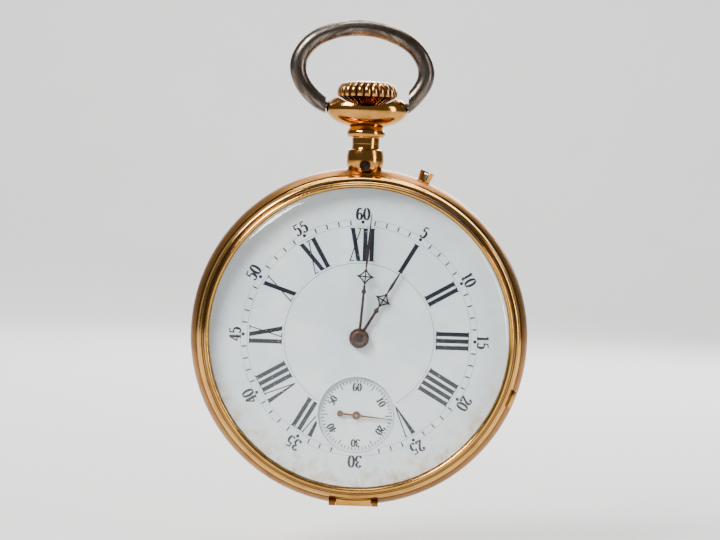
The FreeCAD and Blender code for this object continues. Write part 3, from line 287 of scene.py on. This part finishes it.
def patina(name, worn_spot):
    """Silver bow: rubbed grey with brown tarnish in streaks along the wire, worn to brass at one spot."""
    look = Look(name)
    radius, y, angle, *_ = look.around(BOW)
    along = look.joined(look.sum("MULTIPLY", radius, 1.5), look.sum("MULTIPLY", y, 1.9),
                        look.sum("MULTIPLY", angle, 1.8))
    streaks = look.noise(1.0, 5, along)
    broad = look.noise(0.22, 4)
    colour = look.mix(look.spread(streaks, 0.38, 0.62), (0.20, 0.168, 0.135), (0.068, 0.051, 0.045))
    colour = look.mix(look.spread(broad, 0.44, 0.70, 0.0, 0.8), colour, (0.095, 0.056, 0.032))
    reach = look.vector("DISTANCE", look.place, worn_spot)
    patchy = look.spread(look.noise(1.1, 3), 0.35, 0.55)
    brass = look.sum("MULTIPLY", look.spread(reach, 0.6, 1.5, 1.0, 0.0), patchy)
    colour = look.mix(brass, colour, (0.46, 0.27, 0.08))
    look.set(Base_Color=colour, Metallic=1.0, Roughness=look.spread(streaks, 0.35, 0.7, 0.22, 0.40))
    look.bump(streaks, 0.02)
    look.bump(look.noise(14.0, 3), 0.004)
    return look.material


def glass(name):
    """Clear crystal with faint smears. Lamps reach what is behind it."""
    look = Look(name)
    smears = look.noise(0.4, 5, look.vector("MULTIPLY", look.place, (1.0, 1.0, 2.4)))
    look.set(Base_Color=look.mix(look.spread(smears, 0.4, 0.7), (0.97, 0.985, 0.985), (0.93, 0.955, 0.96)))
    look.set(Transmission_Weight=1.0, IOR=1.5, Roughness=look.spread(smears, 0.5, 0.8, 0.0, 0.02))
    look.set(Specular_IOR_Level=0.15)
    clear = look.add("ShaderNodeBsdfTransparent")
    rays = look.add("ShaderNodeLightPath")
    both = look.add("ShaderNodeMixShader")
    look.feed(both.inputs[0], rays.outputs["Is Shadow Ray"])
    look.feed(both.inputs[1], look.surface.outputs[0])
    look.feed(both.inputs[2], clear.outputs[0])
    look.feed(look.tree.nodes["Material Output"].inputs["Surface"], both.outputs[0])
    return look.material


def tipped_brass(name):
    """Brass wheel on an arbor whose front end, among the hands, has gone dark."""
    look = Look(name)
    _, y, *_ = look.around()
    dull = look.spread(look.noise(1.5, 4), 0.4, 0.7)
    brass = look.mix(dull, (0.80, 0.60, 0.26), (0.62, 0.43, 0.16))
    tip = look.spread(y, -3.9, -3.6, 1.0, 0.0)
    look.set(Metallic=1.0, Base_Color=look.mix(tip, brass, (0.05, 0.035, 0.03)))
    look.set(Roughness=look.spread(dull, 0, 1, 0.2, 0.34))
    look.bump(look.noise(12.0, 2), 0.002)
    return look.material


def ruby(name):
    look = Look(name)
    depth = look.noise(2.0, 3)
    look.set(Base_Color=look.mix(depth, (0.55, 0.02, 0.09), (0.36, 0.01, 0.05)), Roughness=0.06)
    look.set(Transmission_Weight=0.35, IOR=1.76)
    look.bump(look.noise(8.0, 2), 0.001)
    return look.material


def paper(name, first, second):
    """Matt backdrop paper with a faint tooth."""
    look = Look(name)
    look.set(Base_Color=look.mix(look.noise(0.02, 3), first, second), Roughness=0.85)
    look.bump(look.noise(2.0, 3), 0.02)
    return look.material


GOLD = worn_metal("polished_gold", (0.56, 0.262, 0.058), (0.30, 0.112, 0.024), 0.09, 0.22)
# The crown's second colour is painted shade for the gaps between its ribs.
CROWN_GOLD = ribbed_metal("crown_gold", (0.62, 0.30, 0.085), (0.07, 0.026, 0.008))
# The bezel's gold is painted darker at these groove radii: painted shade.
BEZEL_GOLD = worn_metal("turned_gold_groove_shade", (0.68, 0.35, 0.075), (0.36, 0.145, 0.03), 0.11, 0.28,
                        turned_finish=0.002, shaded_grooves=(22.75, 23.04, 24.02))
# Painted shade: the band's gold is a much darker copy of the case's gold, for the dark reflections it shows;
# its satin finish is its higher roughness.
DARKENED_BAND_GOLD = worn_metal("satin_gold_painted_dark", (0.32, 0.138, 0.026), (0.19, 0.070, 0.013), 0.33, 0.46,
                       turned_finish=0.008)
SILVER = patina("old_silver", (-7.0, -1.2, 34.6))
GILT = worn_metal("grained_gilt", (0.80, 0.58, 0.25), (0.60, 0.40, 0.15), 0.26, 0.38, grain=0.012)
BRASS = worn_metal("wheel_brass", (0.80, 0.60, 0.26), (0.62, 0.43, 0.16), 0.18, 0.30)
STEEL = worn_metal("polished_steel", (0.60, 0.60, 0.61), (0.38, 0.37, 0.37), 0.14, 0.30)
BLUED = worn_metal("blued_steel", (0.03, 0.06, 0.25), (0.02, 0.03, 0.10), 0.16, 0.30)
ARBOR_BRASS = tipped_brass("arbor_brass")
COPPER = worn_metal("bare_copper", (0.70, 0.33, 0.20), (0.35, 0.14, 0.08), 0.25, 0.45)
RUBY = ruby("ruby")
CRYSTAL = glass("crystal")
DIAL_ENAMEL = enamel("dial_enamel", DIAL, DIAL_RIM)
SUB_ENAMEL = enamel("subdial_enamel", SUBDIAL, SUBDIAL_RIM)
PRINT = ink("black_print", (0.004, 0.005, 0.009), 0.68, 1.8)
FAINT = ink("faint_print", (0.06, 0.065, 0.08), 0.62, 1.4)
RUSTY = rusty("rusty_hand", (0.060, 0.020, 0.009), (0.014, 0.008, 0.007), (3.4, 5.0))
COLLAR = rusty("hub_collar", (0.075, 0.034, 0.016), (0.030, 0.014, 0.008), (30.0, 40.0))
RED_RUST = rusty("rusty_seconds_hand", (0.13, 0.045, 0.018), (0.055, 0.020, 0.010), (30.0, 40.0))

SLOT_LOOKS = {
    "rose_gold": GOLD, "old_silver": SILVER, "crystal_glass": CRYSTAL, "enamel": DIAL_ENAMEL,
    "blued_hands": RUSTY, "gilt_brass": GILT, "wheel_brass": BRASS, "steel": STEEL, "blued_steel": BLUED,
    "ruby": RUBY, "copper": COPPER,
}
NODE_LOOKS = {
    "bezel": BEZEL_GOLD, "case_middle": DARKENED_BAND_GOLD, "back_cover": BEZEL_GOLD, "cuvette": BEZEL_GOLD,
    "seconds_subdial": SUB_ENAMEL, "seconds_hand": RED_RUST, "pendant_screw": RUSTY, "cannon_pinion": RUSTY,
    "centre_wheel": ARBOR_BRASS,
}
SMOOTH_UNDER = math.radians(32)


def dress_frame():
    slots = {row["node"]: row["material_slot"] for row in frame["record"]["subparts"]}
    for name, node in nodes.items():
        node.data.materials.clear()
        node.data.materials.append(NODE_LOOKS.get(name) or SLOT_LOOKS[slots[name]])
        node.data.shade_smooth()
        node.data.set_sharp_from_angle(angle=SMOOTH_UNDER)


# ---- mesh helpers ----

def add_piece(name, shape, look, body, replaces=()):
    """Makes an object of a bmesh drawn in millimetres, and puts it on its body."""
    bmesh.ops.scale(shape, vec=(MM, MM, MM), verts=shape.verts)
    bmesh.ops.recalc_face_normals(shape, faces=shape.faces)
    mesh = bpy.data.meshes.new(name)
    shape.to_mesh(mesh)
    shape.free()
    mesh.materials.append(look)
    mesh.shade_smooth()
    mesh.set_sharp_from_angle(angle=SMOOTH_UNDER)
    made = bpy.data.objects.new(name, mesh)
    bpy.context.scene.collection.objects.link(made)
    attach(made, body)
    if replaces:
        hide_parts(*replaces)
    return made


def curve_value(a, b, c, d, t):
    """The coordinate at t on the way from b to c, on a Catmull-Rom curve that also passes a and d."""
    square = (2 * a - 5 * b + 4 * c - d) * t**2
    cube = (3 * b - a - 3 * c + d) * t**3
    return 0.5 * (2 * b + (c - a) * t + square + cube)


def smooth_line(points, steps):
    """Points along a Catmull-Rom curve through the given ones."""
    line = []
    last = len(points) - 1
    for index in range(last):
        before, start, end, after = (points[min(max(index + k, 0), last)] for k in (-1, 0, 1, 2))
        for step in range(steps):
            t = step / steps
            line.append(tuple(curve_value(*four, t) for four in zip(before, start, end, after)))
    line.append(points[-1])
    return line


def arc(start, through, end, steps=9):
    """Points on the circle through three points, after the start and up to the end."""
    (ax, ay), (bx, by), (cx, cy) = start, through, end
    d = 2 * (ax * (by - cy) + bx * (cy - ay) + cx * (ay - by))
    ux = ((ax**2 + ay**2) * (by - cy) + (bx**2 + by**2) * (cy - ay) + (cx**2 + cy**2) * (ay - by)) / d
    uy = ((ax**2 + ay**2) * (cx - bx) + (bx**2 + by**2) * (ax - cx) + (cx**2 + cy**2) * (bx - ax)) / d
    radius = math.hypot(ax - ux, ay - uy)
    first = math.atan2(ay - uy, ax - ux)
    turn = math.atan2(cy - uy, cx - ux) - first
    passing = (math.atan2(by - uy, bx - ux) - first) % math.tau
    turn %= math.tau
    if passing > turn:
        turn -= math.tau
    angles = [first + turn * k / steps for k in range(1, steps + 1)]
    return [(ux + radius * math.cos(angle), uy + radius * math.sin(angle)) for angle in angles]


DOME_SHARE = 0.35           # radius of a dome's edge, as a share of its sphere's radius


def dome(edge, apex, steps=14):
    """Points from the apex of a shallow dome, on the axis, out to its edge."""
    radius, y = edge
    fall_at_edge = 1 - math.sqrt(1 - DOME_SHARE**2)
    line = [(0.0, apex)]
    for k in range(1, steps + 1):
        fall = 1 - math.sqrt(max(0.0, 1 - (DOME_SHARE * k / steps)**2))
        line.append((radius * k / steps, apex + (y - apex) * fall / fall_at_edge))
    return line


def lathe(shape, profile, centre, count, upright=False, reshape=None):
    """Closed solid turned from (radius, level) points: about an axis along Y, or along Z if upright."""
    rows = []
    for index in range(count):
        turn = math.tau * index / count
        row = []
        for radius, level in profile:
            if reshape:
                radius, level = reshape(radius, level, turn)
            across, along = radius * math.sin(turn), radius * math.cos(turn)
            place = (across, along, level) if upright else (across, level, along)
            row.append(shape.verts.new(centre + Vector(place)))
        rows.append(row)
    size = len(profile)
    for index in range(count):
        one, other = rows[index], rows[(index + 1) % count]
        for k in range(size):
            after = (k + 1) % size
            shape.faces.new((one[k], one[after], other[after], other[k]))
    bmesh.ops.remove_doubles(shape, verts=shape.verts, dist=1e-5)
    bmesh.ops.dissolve_degenerate(shape, edges=shape.edges, dist=1e-6)
    return shape


def tube_along_x(shape, start, end, centre, outer, inner, sides=32):
    rows = []
    for x, radius in ((start, inner), (start, outer - 0.05), (start + 0.05, outer), (end - 0.05, outer),
                      (end, outer - 0.05), (end, inner)):
        rows.append([shape.verts.new(centre + Vector((
            x, radius * math.sin(math.tau * k / sides), radius * math.cos(math.tau * k / sides))))
            for k in range(sides)])
    for one, other in zip(rows, rows[1:] + rows[:1]):
        for k in range(sides):
            shape.faces.new((one[k], one[(k + 1) % sides], other[(k + 1) % sides], other[k]))


def rounded_block(shape, corners, levels, centre, clock, soft):
    """Prism on (u, v) corners between two levels of y, turned to a clock angle, with softened edges."""
    turn = math.radians(clock)
    cos, sin = math.cos(turn), math.sin(turn)
    part = bmesh.new()
    rings = [[part.verts.new((u * cos + v * sin, y, v * cos - u * sin)) for u, v in corners] for y in levels]
    part.faces.new(rings[0])
    part.faces.new(rings[1])
    for k in range(len(corners)):
        after = (k + 1) % len(corners)
        part.faces.new((rings[0][k], rings[0][after], rings[1][after], rings[1][k]))
    bmesh.ops.recalc_face_normals(part, faces=part.faces)
    bmesh.ops.bevel(part, geom=part.edges, offset=soft, segments=3, affect="EDGES", profile=0.5)
    bmesh.ops.translate(part, verts=part.verts, vec=centre)
    copy = bpy.data.meshes.new("part")
    part.to_mesh(copy)
    part.free()
    shape.from_mesh(copy)
    bpy.data.meshes.remove(copy)


# ---- bezel, crystal and crown ----

FOOT_Y = -2.45              # where the bezel meets the band
HINGE = Vector((0.0, -2.4, -24.45))
KNUCKLE = 0.55
CRYSTAL_EDGE = (22.4, -4.5)
BEVEL = (21.35, -5.45)
TABS_Y = (-3.0, FOOT_Y)     # the hinge tab and the opening lip, below the bezel's foot
CASE = Vector((0.0, 0.0, DIAL.z))


def bezel():
    """Snap bezel: a polished bead by the glass, two smaller beads and a hollow down to the band."""
    inside = [(22.95, FOOT_Y), (22.95, -3.05), (21.95, -3.05), (21.95, -4.47), (22.43, -4.47)]
    inside.append((22.43, -4.98))
    lip = [(22.08, -4.98), (22.08, -5.2)]
    bead = lip + arc(lip[-1], (22.4, -5.52), (22.72, -5.15))
    groove = (22.75, -4.95)
    second = [groove] + arc(groove, (22.92, -4.82), (23.03, -4.6), 6)
    step = (23.06, -4.4)
    third = [step] + arc(step, (23.42, -4.3), (23.62, -3.9))
    hollow = arc(third[-1], (23.68, -3.35), (23.95, -2.95))
    edge = [(24.05, -2.85), (24.05, FOOT_Y)]

    def clear_of_hinge(radius, level, turn):
        """The ring is cut back to a flat where the band's knuckles swing past it."""
        flat = 23.8
        beside_hinge = abs(radius * math.sin(turn)) < 3.8 and math.cos(turn) < 0
        if beside_hinge and level > -3.05 and -radius * math.cos(turn) > flat:
            radius = flat / -math.cos(turn)
        return radius, level

    shape = bmesh.new()
    lathe(shape, inside + bead + second + third + hollow + edge, CASE, 360, reshape=clear_of_hinge)
    tube_along_x(shape, -2.6, 2.6, CASE + HINGE, KNUCKLE, 0.23)
    hinge_tab = [(-2.55, 23.4), (2.55, 23.4), (2.55, 24.5), (-2.55, 24.5)]
    rounded_block(shape, hinge_tab, TABS_Y, CASE, 180, 0.04)
    opening_lip = [(-1.6, 23.4), (1.6, 23.4), (1.2, 24.55), (-1.2, 24.55)]
    rounded_block(shape, opening_lip, TABS_Y, CASE, 110, 0.09)
    add_piece("bezel_ring", shape, BEZEL_GOLD, "bezel", ["bezel"])


def crystal():
    """Domed glass with a bevelled rim."""
    outside = dome(BEVEL, -6.9)
    inside = dome((20.8, CRYSTAL_EDGE[1]), -6.0)
    rim = [(22.02, -4.95), (CRYSTAL_EDGE[0], -4.92), CRYSTAL_EDGE]
    add_piece("domed_crystal", lathe(bmesh.new(), outside + rim + inside[::-1], CASE, 240), CRYSTAL,
              "bezel", ["crystal"])


RIB_DEPTH = 0.34


def crown():
    """Winding crown with rounded ribs that run from its hollow underside over the shoulder."""
    under, waist = (1.6, 33.95), (4.1, 35.38)
    rim, shoulder, top = (4.43, 36.2), (2.6, 37.65), 37.85
    profile = [(0.62, under[1]), under] + arc(under, (3.1, 34.8), waist)
    profile += [(4.36, 35.5), (4.43, 35.66), rim]
    profile += arc(rim, (4.0, 37.15), shoulder, 12)
    profile += dome(shoulder, top, 8)[-2::-1]
    profile += [(0.0, 36.0), (0.62, 36.0)]

    def ribbed(radius, level, turn):
        rib = abs(math.cos(turn * RIBS / 2))**0.7
        reach = min(max((radius - 1.7) / 1.6, 0.0), 1.0)
        return radius - RIB_DEPTH * (1 - rib) * reach, level

    shape = lathe(bmesh.new(), profile, CASE, RIBS * 16, upright=True, reshape=ribbed)
    add_piece("ribbed_crown", shape, CROWN_GOLD, "stem", ["crown"])


def hub_collar():
    """Raised ring on the minute hand's hub."""
    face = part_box("minute_hand")[0].y / MM
    inner, outer = (0.66, face - 0.1), (1.02, face - 0.1)
    profile = [(0.62, face + 0.02), inner] + arc(inner, (0.84, face - 0.17), outer)
    shape = lathe(bmesh.new(), profile + [(1.06, face + 0.02)], CASE, 72)
    add_piece("minute_hub_collar", shape, COLLAR, "cannon")


def sink_edge():
    """Rounded lip where the dial drops to the seconds dial."""
    profile = [(5.66, SUBDIAL_FACE), (5.66, DIAL_FACE + 0.02)]
    profile += arc(profile[-1], (5.72, DIAL_FACE - 0.03), (5.84, DIAL_FACE - 0.02), 6)
    profile += [(5.95, DIAL_FACE + 0.01), (5.95, DIAL_FACE + 0.1)]
    shape = lathe(bmesh.new(), profile, Vector((SUBDIAL.x, 0, SUBDIAL.z)), 144)
    add_piece("sink_edge", shape, DIAL_ENAMEL, "case")


# ---- printing on the dial ----

PRINT_THICK = 0.012
HAIR = 0.17                 # width of the thin strokes of V and X
SERIF = 0.14


class Printing:
    """Thin raised print. Drawings are in (u, v): u clockwise and v outwards, about a centre."""

    def __init__(self, centre, face, keep_off=None):
        self.shape = bmesh.new()
        self.centre = centre
        self.face = face
        self.keep_off = keep_off

    def place(self, point, clock):
        turn = math.radians(clock)
        u, v = point
        x = self.centre.x + v * math.sin(turn) + u * math.cos(turn)
        z = self.centre.z + v * math.cos(turn) - u * math.sin(turn)
        return x, z

    def hidden(self, x, z):
        if self.keep_off is None:
            return False
        centre, radius = self.keep_off
        return math.hypot(x - centre.x, z - centre.z) < radius

    def ribbon(self, left, right, clock):
        """Closed strips between two rows of points, broken off where the dial is cut away."""
        run = []
        for a, b in zip(left, right):
            corners = self.place(a, clock), self.place(b, clock)
            middle_x, middle_z = ((one + other) / 2 for one, other in zip(*corners))
            if self.hidden(middle_x, middle_z):
                self.strip(run)
                run = []
            else:
                run.append(corners)
        self.strip(run)

    def strip(self, run):
        if len(run) < 2:
            return
        rows = [[self.shape.verts.new((x, self.face - raised, z))
                 for x, z in corners for raised in (PRINT_THICK, 0.0)] for corners in run]
        for (a, b, c, d), (e, f, g, h) in zip(rows, rows[1:]):
            for corners in ((a, c, g, e), (a, e, f, b), (c, d, h, g), (b, f, h, d)):
                self.shape.faces.new(corners)
        for a, b, c, d in (rows[0], rows[-1]):
            self.shape.faces.new((a, b, d, c))

    def stroke(self, start, end, width, clock, end_width=None, steps=20):
        """A straight stroke, with ends square across the radius."""
        far = (width if end_width is None else end_width) / 2
        left, right = [], []
        for step in range(steps + 1):
            t = step / steps
            u = start[0] + (end[0] - start[0]) * t
            v = start[1] + (end[1] - start[1]) * t
            half = width / 2 + (far - width / 2) * t
            left.append((u - half, v))
            right.append((u + half, v))
        self.ribbon(left, right, clock)

    def level_stroke(self, start, end, v, clock, width=SERIF):
        self.ribbon([(start, v - width / 2), (end, v - width / 2)],
                    [(start, v + width / 2), (end, v + width / 2)], clock)

    def ring(self, radius, width, gap=None, steps=240):
        """A circle, or the arc of it that is outside the clock angles of gap."""
        start, end = (gap[1], gap[0] + 360) if gap else (0, 360)
        left, right = [], []
        for step in range(steps + 1):
            turn = math.radians(start + (end - start) * step / steps)
            for side, row in ((-1, left), (1, right)):
                r = radius + side * width / 2
                row.append((r * math.sin(turn), r * math.cos(turn)))
        self.ribbon(left, right, 0)

    def dot(self, radius, clock, size):
        self.ribbon(*zip(*[
            ((-half, radius + v), (half, radius + v))
            for v, half in ((size * math.sin(t), max(size * math.cos(t), 0.01))
                            for t in (math.radians(90 * k / 5) for k in range(-5, 6)))]), clock)

    def pen(self, points, corner, size, clock, thick, thin=0.1, steps=6):
        """A pen stroke on a digit's unit square: broad where it runs up or down, thin across."""
        line = smooth_line(points, steps)
        left, right = [], []
        for index, (x, y) in enumerate(line):
            ahead = line[min(index + 1, len(line) - 1)]
            behind = line[max(index - 1, 0)]
            along = Vector((ahead[0] - behind[0], ahead[1] - behind[1])).normalized()
            half = (thin + (thick - thin) * abs(along.y)**2) / 2
            for side, row in ((-1, left), (1, right)):
                row.append((corner[0] + size * (x - side * along.y * half),
                            corner[1] + size * (y + side * along.x * half)))
        self.ribbon(left, right, clock)

    def finish(self, name, look):
        return add_piece(name, self.shape, look, "case")


def loop(centre, half_width, half_height, start=0, end=360, steps=16):
    return [(centre[0] + half_width * math.sin(math.radians(turn)),
             centre[1] + half_height * math.cos(math.radians(turn)))
            for turn in (start + (end - start) * step / steps for step in range(steps + 1))]


# Each digit is pen strokes in a unit-high box 0.58 wide, as (points, whether the stroke may be broad).
DIGITS = {
    "0": [(loop((0.29, 0.5), 0.21, 0.47), True)],
    "1": [([(0.31, 0.97), (0.31, 0.03)], True), ([(0.31, 0.97), (0.14, 0.84)], False),
          ([(0.16, 0.03), (0.46, 0.03)], False)],
    "2": [([(0.13, 0.72), (0.14, 0.88), (0.28, 0.97), (0.43, 0.88), (0.45, 0.70), (0.33, 0.44),
            (0.10, 0.06)], True),
          ([(0.10, 0.07), (0.22, 0.12), (0.36, 0.05), (0.48, 0.08), (0.50, 0.24)], True)],
    "3": [([(0.12, 0.80), (0.16, 0.92), (0.29, 0.97), (0.43, 0.86), (0.42, 0.66), (0.24, 0.54)], True),
          ([(0.24, 0.54), (0.45, 0.44), (0.48, 0.22), (0.32, 0.03), (0.14, 0.07), (0.09, 0.22)], True)],
    "4": [([(0.39, 0.97), (0.03, 0.31)], False), ([(0.01, 0.31), (0.56, 0.31)], False),
          ([(0.39, 0.97), (0.39, 0.03)], True),
          ([(0.26, 0.03), (0.52, 0.03)], False)],
    "5": [([(0.16, 0.95), (0.30, 0.92), (0.47, 0.97)], True), ([(0.16, 0.95), (0.13, 0.56)], False),
          ([(0.13, 0.56), (0.26, 0.63), (0.42, 0.56), (0.48, 0.32), (0.40, 0.09), (0.24, 0.03),
            (0.09, 0.16)], True)],
    "6": [([(0.44, 0.88), (0.32, 0.97), (0.18, 0.86), (0.10, 0.58), (0.11, 0.28)], True),
          (loop((0.29, 0.29), 0.19, 0.26), True)],
}
DIGIT_PITCH = 0.60            # share of a digit's height
THIN_STROKE = 0.12


def number(print_, text, clock, radius, height, thick):
    """Digits side by side, tops outwards, about the middle of their height."""
    start = -len(text) * DIGIT_PITCH * height / 2
    for index, digit in enumerate(text):
        corner = (start + index * DIGIT_PITCH * height, radius - height / 2)
        for points, broad in DIGITS[digit]:
            width = thick if broad else THIN_STROKE
            print_.pen(points, corner, height, clock, width, steps=6 if len(points) > 3 else 1)


ROMAN_V = (11.35, 16.05)      # inner and outer radius of the Roman numbers
BAR = 0.63                    # width of a Roman number's broad stroke
LETTER_WIDTH = {"I": 0.99, "V": 1.75, "X": 1.85}
# Where a letter's serifs start and end, as shares of its width.
SERIF_ENDS = {"I": [(0.04, 0.96)], "V": [(0.02, 0.46), (0.78, 1.0)], "X": [(0.04, 0.44), (0.64, 1.0)]}


def letter(print_, name, u, clock):
    inner, outer = ROMAN_V
    width = LETTER_WIDTH[name]
    if name == "I":
        print_.stroke((u + width / 2, inner), (u + width / 2, outer), BAR, clock)
    if name == "V":
        foot = u + width * 0.5
        print_.stroke((foot, inner), (u + width * 0.22, outer), 0.14, clock, BAR)
        print_.stroke((foot, inner), (u + width * 0.92, outer), HAIR, clock)
    if name == "X":
        print_.stroke((u + width * 0.78, inner), (u + width * 0.25, outer), BAR, clock)
        print_.stroke((u + width * 0.12, inner), (u + width * 0.88, outer), HAIR, clock)


def roman(print_, text, clock):
    u = -sum(LETTER_WIDTH[name] for name in text) / 2
    start = u
    for name in text:
        letter(print_, name, u, clock)
        u += LETTER_WIDTH[name]
    for v in ROMAN_V:
        serifs(print_, text, start, v, clock)


def serifs(print_, text, start, v, clock):
    u = start
    for name in text:
        width = LETTER_WIDTH[name]
        ends = SERIF_ENDS[name]
        if name == "V" and v == ROMAN_V[0]:
            ends = []
        for low, high in ends:
            print_.level_stroke(u + low * width, u + high * width, v, clock)
        u += width


# Six o'clock has no number, because the seconds dial takes its place.
HOURS = {1: "I", 2: "II", 3: "III", 4: "IIII", 5: "V", 7: "VII", 8: "VIII", 9: "IX", 10: "X", 11: "XI",
         12: "XII"}
SINK_EDGE = 5.85              # print stops at this distance from the seconds dial's middle
MINUTE_NUMBERS = (18.2, 1.75, 0.22)     # radius, height and stroke
SECOND_NUMBERS = (4.12, 1.12, 0.25)


def print_dial():
    main = Printing(DIAL, DIAL_FACE, (SUBDIAL, SINK_EDGE))
    for hour, text in HOURS.items():
        roman(main, text, hour * 30)
    for minute in range(60):
        clock = minute * 6
        if minute % 5:
            main.stroke((0, 16.55), (0, 17.25), 0.2, clock, steps=2)
        else:
            main.dot(17.0, clock, 0.25)
            number(main, str(minute or 60), clock, *MINUTE_NUMBERS)
    main.finish("dial_numbers", PRINT)
    faint = Printing(DIAL, DIAL_FACE, (SUBDIAL, SINK_EDGE))
    faint.ring(16.42, 0.05)
    faint.ring(17.36, 0.045)
    faint.ring(11.0, 0.07, gap=(180 - 30, 180 + 30))
    faint.finish("dial_fine_rings", FAINT)


def print_subdial():
    small = Printing(SUBDIAL, SUBDIAL_FACE)
    for second in range(60):
        clock = second * 6
        long = second % 10 == 5
        small.stroke((0, 4.2 if long else 4.72), (0, 5.12), 0.13, clock, steps=2)
    for second in range(0, 60, 10):
        number(small, str(second or 60), second * 6, *SECOND_NUMBERS)
    small.finish("subdial_numbers", PRINT)
    faint = Printing(SUBDIAL, SUBDIAL_FACE)
    faint.ring(5.2, 0.05)
    faint.ring(5.5, 0.06)
    faint.finish("subdial_fine_ring", FAINT)


# ---- camera, lights and stage ----

def look_along(place, target, roll=0.0):
    direction = (Vector(target) - Vector(place)).to_track_quat("-Z", "Y")
    turn = direction.to_matrix().to_4x4()
    turn.translation = place
    return turn @ Matrix.Rotation(math.radians(roll), 4, "Z")


def camera():
    lens = 120.0
    sensor = 36.0
    view_width = 106.8
    distance = view_width * lens / sensor * MM
    rise = math.radians(2.2)
    aim = Vector((-0.2, 0.0, DIAL.z + 9.85)) * MM
    place = aim + distance * Vector((0, -math.cos(rise), math.sin(rise)))
    data = bpy.data.cameras.new("camera")
    data.lens = lens
    data.sensor_width = sensor
    data.clip_start = 0.01
    made = bpy.data.objects.new("camera", data)
    made.matrix_world = look_along(place, aim, 2.0)
    bpy.context.scene.collection.objects.link(made)
    bpy.context.scene.camera = made


def softbox(name, place, target, size, power, tint=(1.0, 1.0, 1.0)):
    data = bpy.data.lights.new(name, "AREA")
    data.shape = "RECTANGLE"
    data.size, data.size_y = size
    data.energy = power
    data.color = tint
    made = bpy.data.objects.new(name, data)
    made.matrix_world = look_along(Vector(place), Vector(target))
    bpy.context.scene.collection.objects.link(made)


def lights():
    aim = (0, 0, DIAL.z * MM)
    softbox("key", (-0.30, -0.28, 0.30), aim, (0.22, 0.16), 5.0)
    softbox("fill", (0.42, -0.22, 0.02), aim, (0.10, 0.40), 1.4)
    softbox("top", (0.02, -0.02, 0.40), aim, (0.30, 0.12), 1.5)
    softbox("back", (0.10, 0.40, 0.20), aim, (0.4, 0.3), 3.0)
    softbox("wall", (0.0, 0.25, 0.55), (0, 0.72, 0.10), (0.6, 0.2), 9.0)
    world = bpy.data.worlds.new("studio")
    world.use_nodes = True
    world.node_tree.nodes["Background"].inputs["Color"].default_value = (0.30, 0.31, 0.33, 1)
    world.node_tree.nodes["Background"].inputs["Strength"].default_value = 0.55
    bpy.context.scene.world = world


LID_CLEARANCE = 7.5          # from the lowest point at rest down to the floor


def stage():
    """Pale floor that curves up into a backdrop. It stays clear of the lids when they hang open."""
    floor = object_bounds()[0][2] / MM - LID_CLEARANCE
    half_width = 900
    front, turn_up, height = -900.0, 520.0, 900.0
    bend = 200
    run = [(front, floor), (turn_up, floor)]
    run += [(turn_up + bend * math.sin(t), floor + bend * (1 - math.cos(t)))
            for t in (math.radians(90 * k / 16) for k in range(1, 17))]
    run.append((turn_up + bend, floor + height))
    shape = bmesh.new()
    rows = [[shape.verts.new((x * MM, y * MM, z * MM)) for x in (-half_width, half_width)] for y, z in run]
    for (a, b), (c, d) in zip(rows, rows[1:]):
        shape.faces.new((a, b, d, c))
    mesh = bpy.data.meshes.new("backdrop")
    shape.to_mesh(mesh)
    shape.free()
    mesh.shade_smooth()
    mesh.materials.append(paper("backdrop_paper", (0.54, 0.54, 0.53), (0.58, 0.58, 0.57)))
    made = bpy.data.objects.new("backdrop", mesh)
    bpy.context.scene.collection.objects.link(made)
    made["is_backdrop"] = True


camera()
dress_frame()
bezel()
crystal()
crown()
sink_edge()
hub_collar()
print_dial()
print_subdial()
stage()
lights()
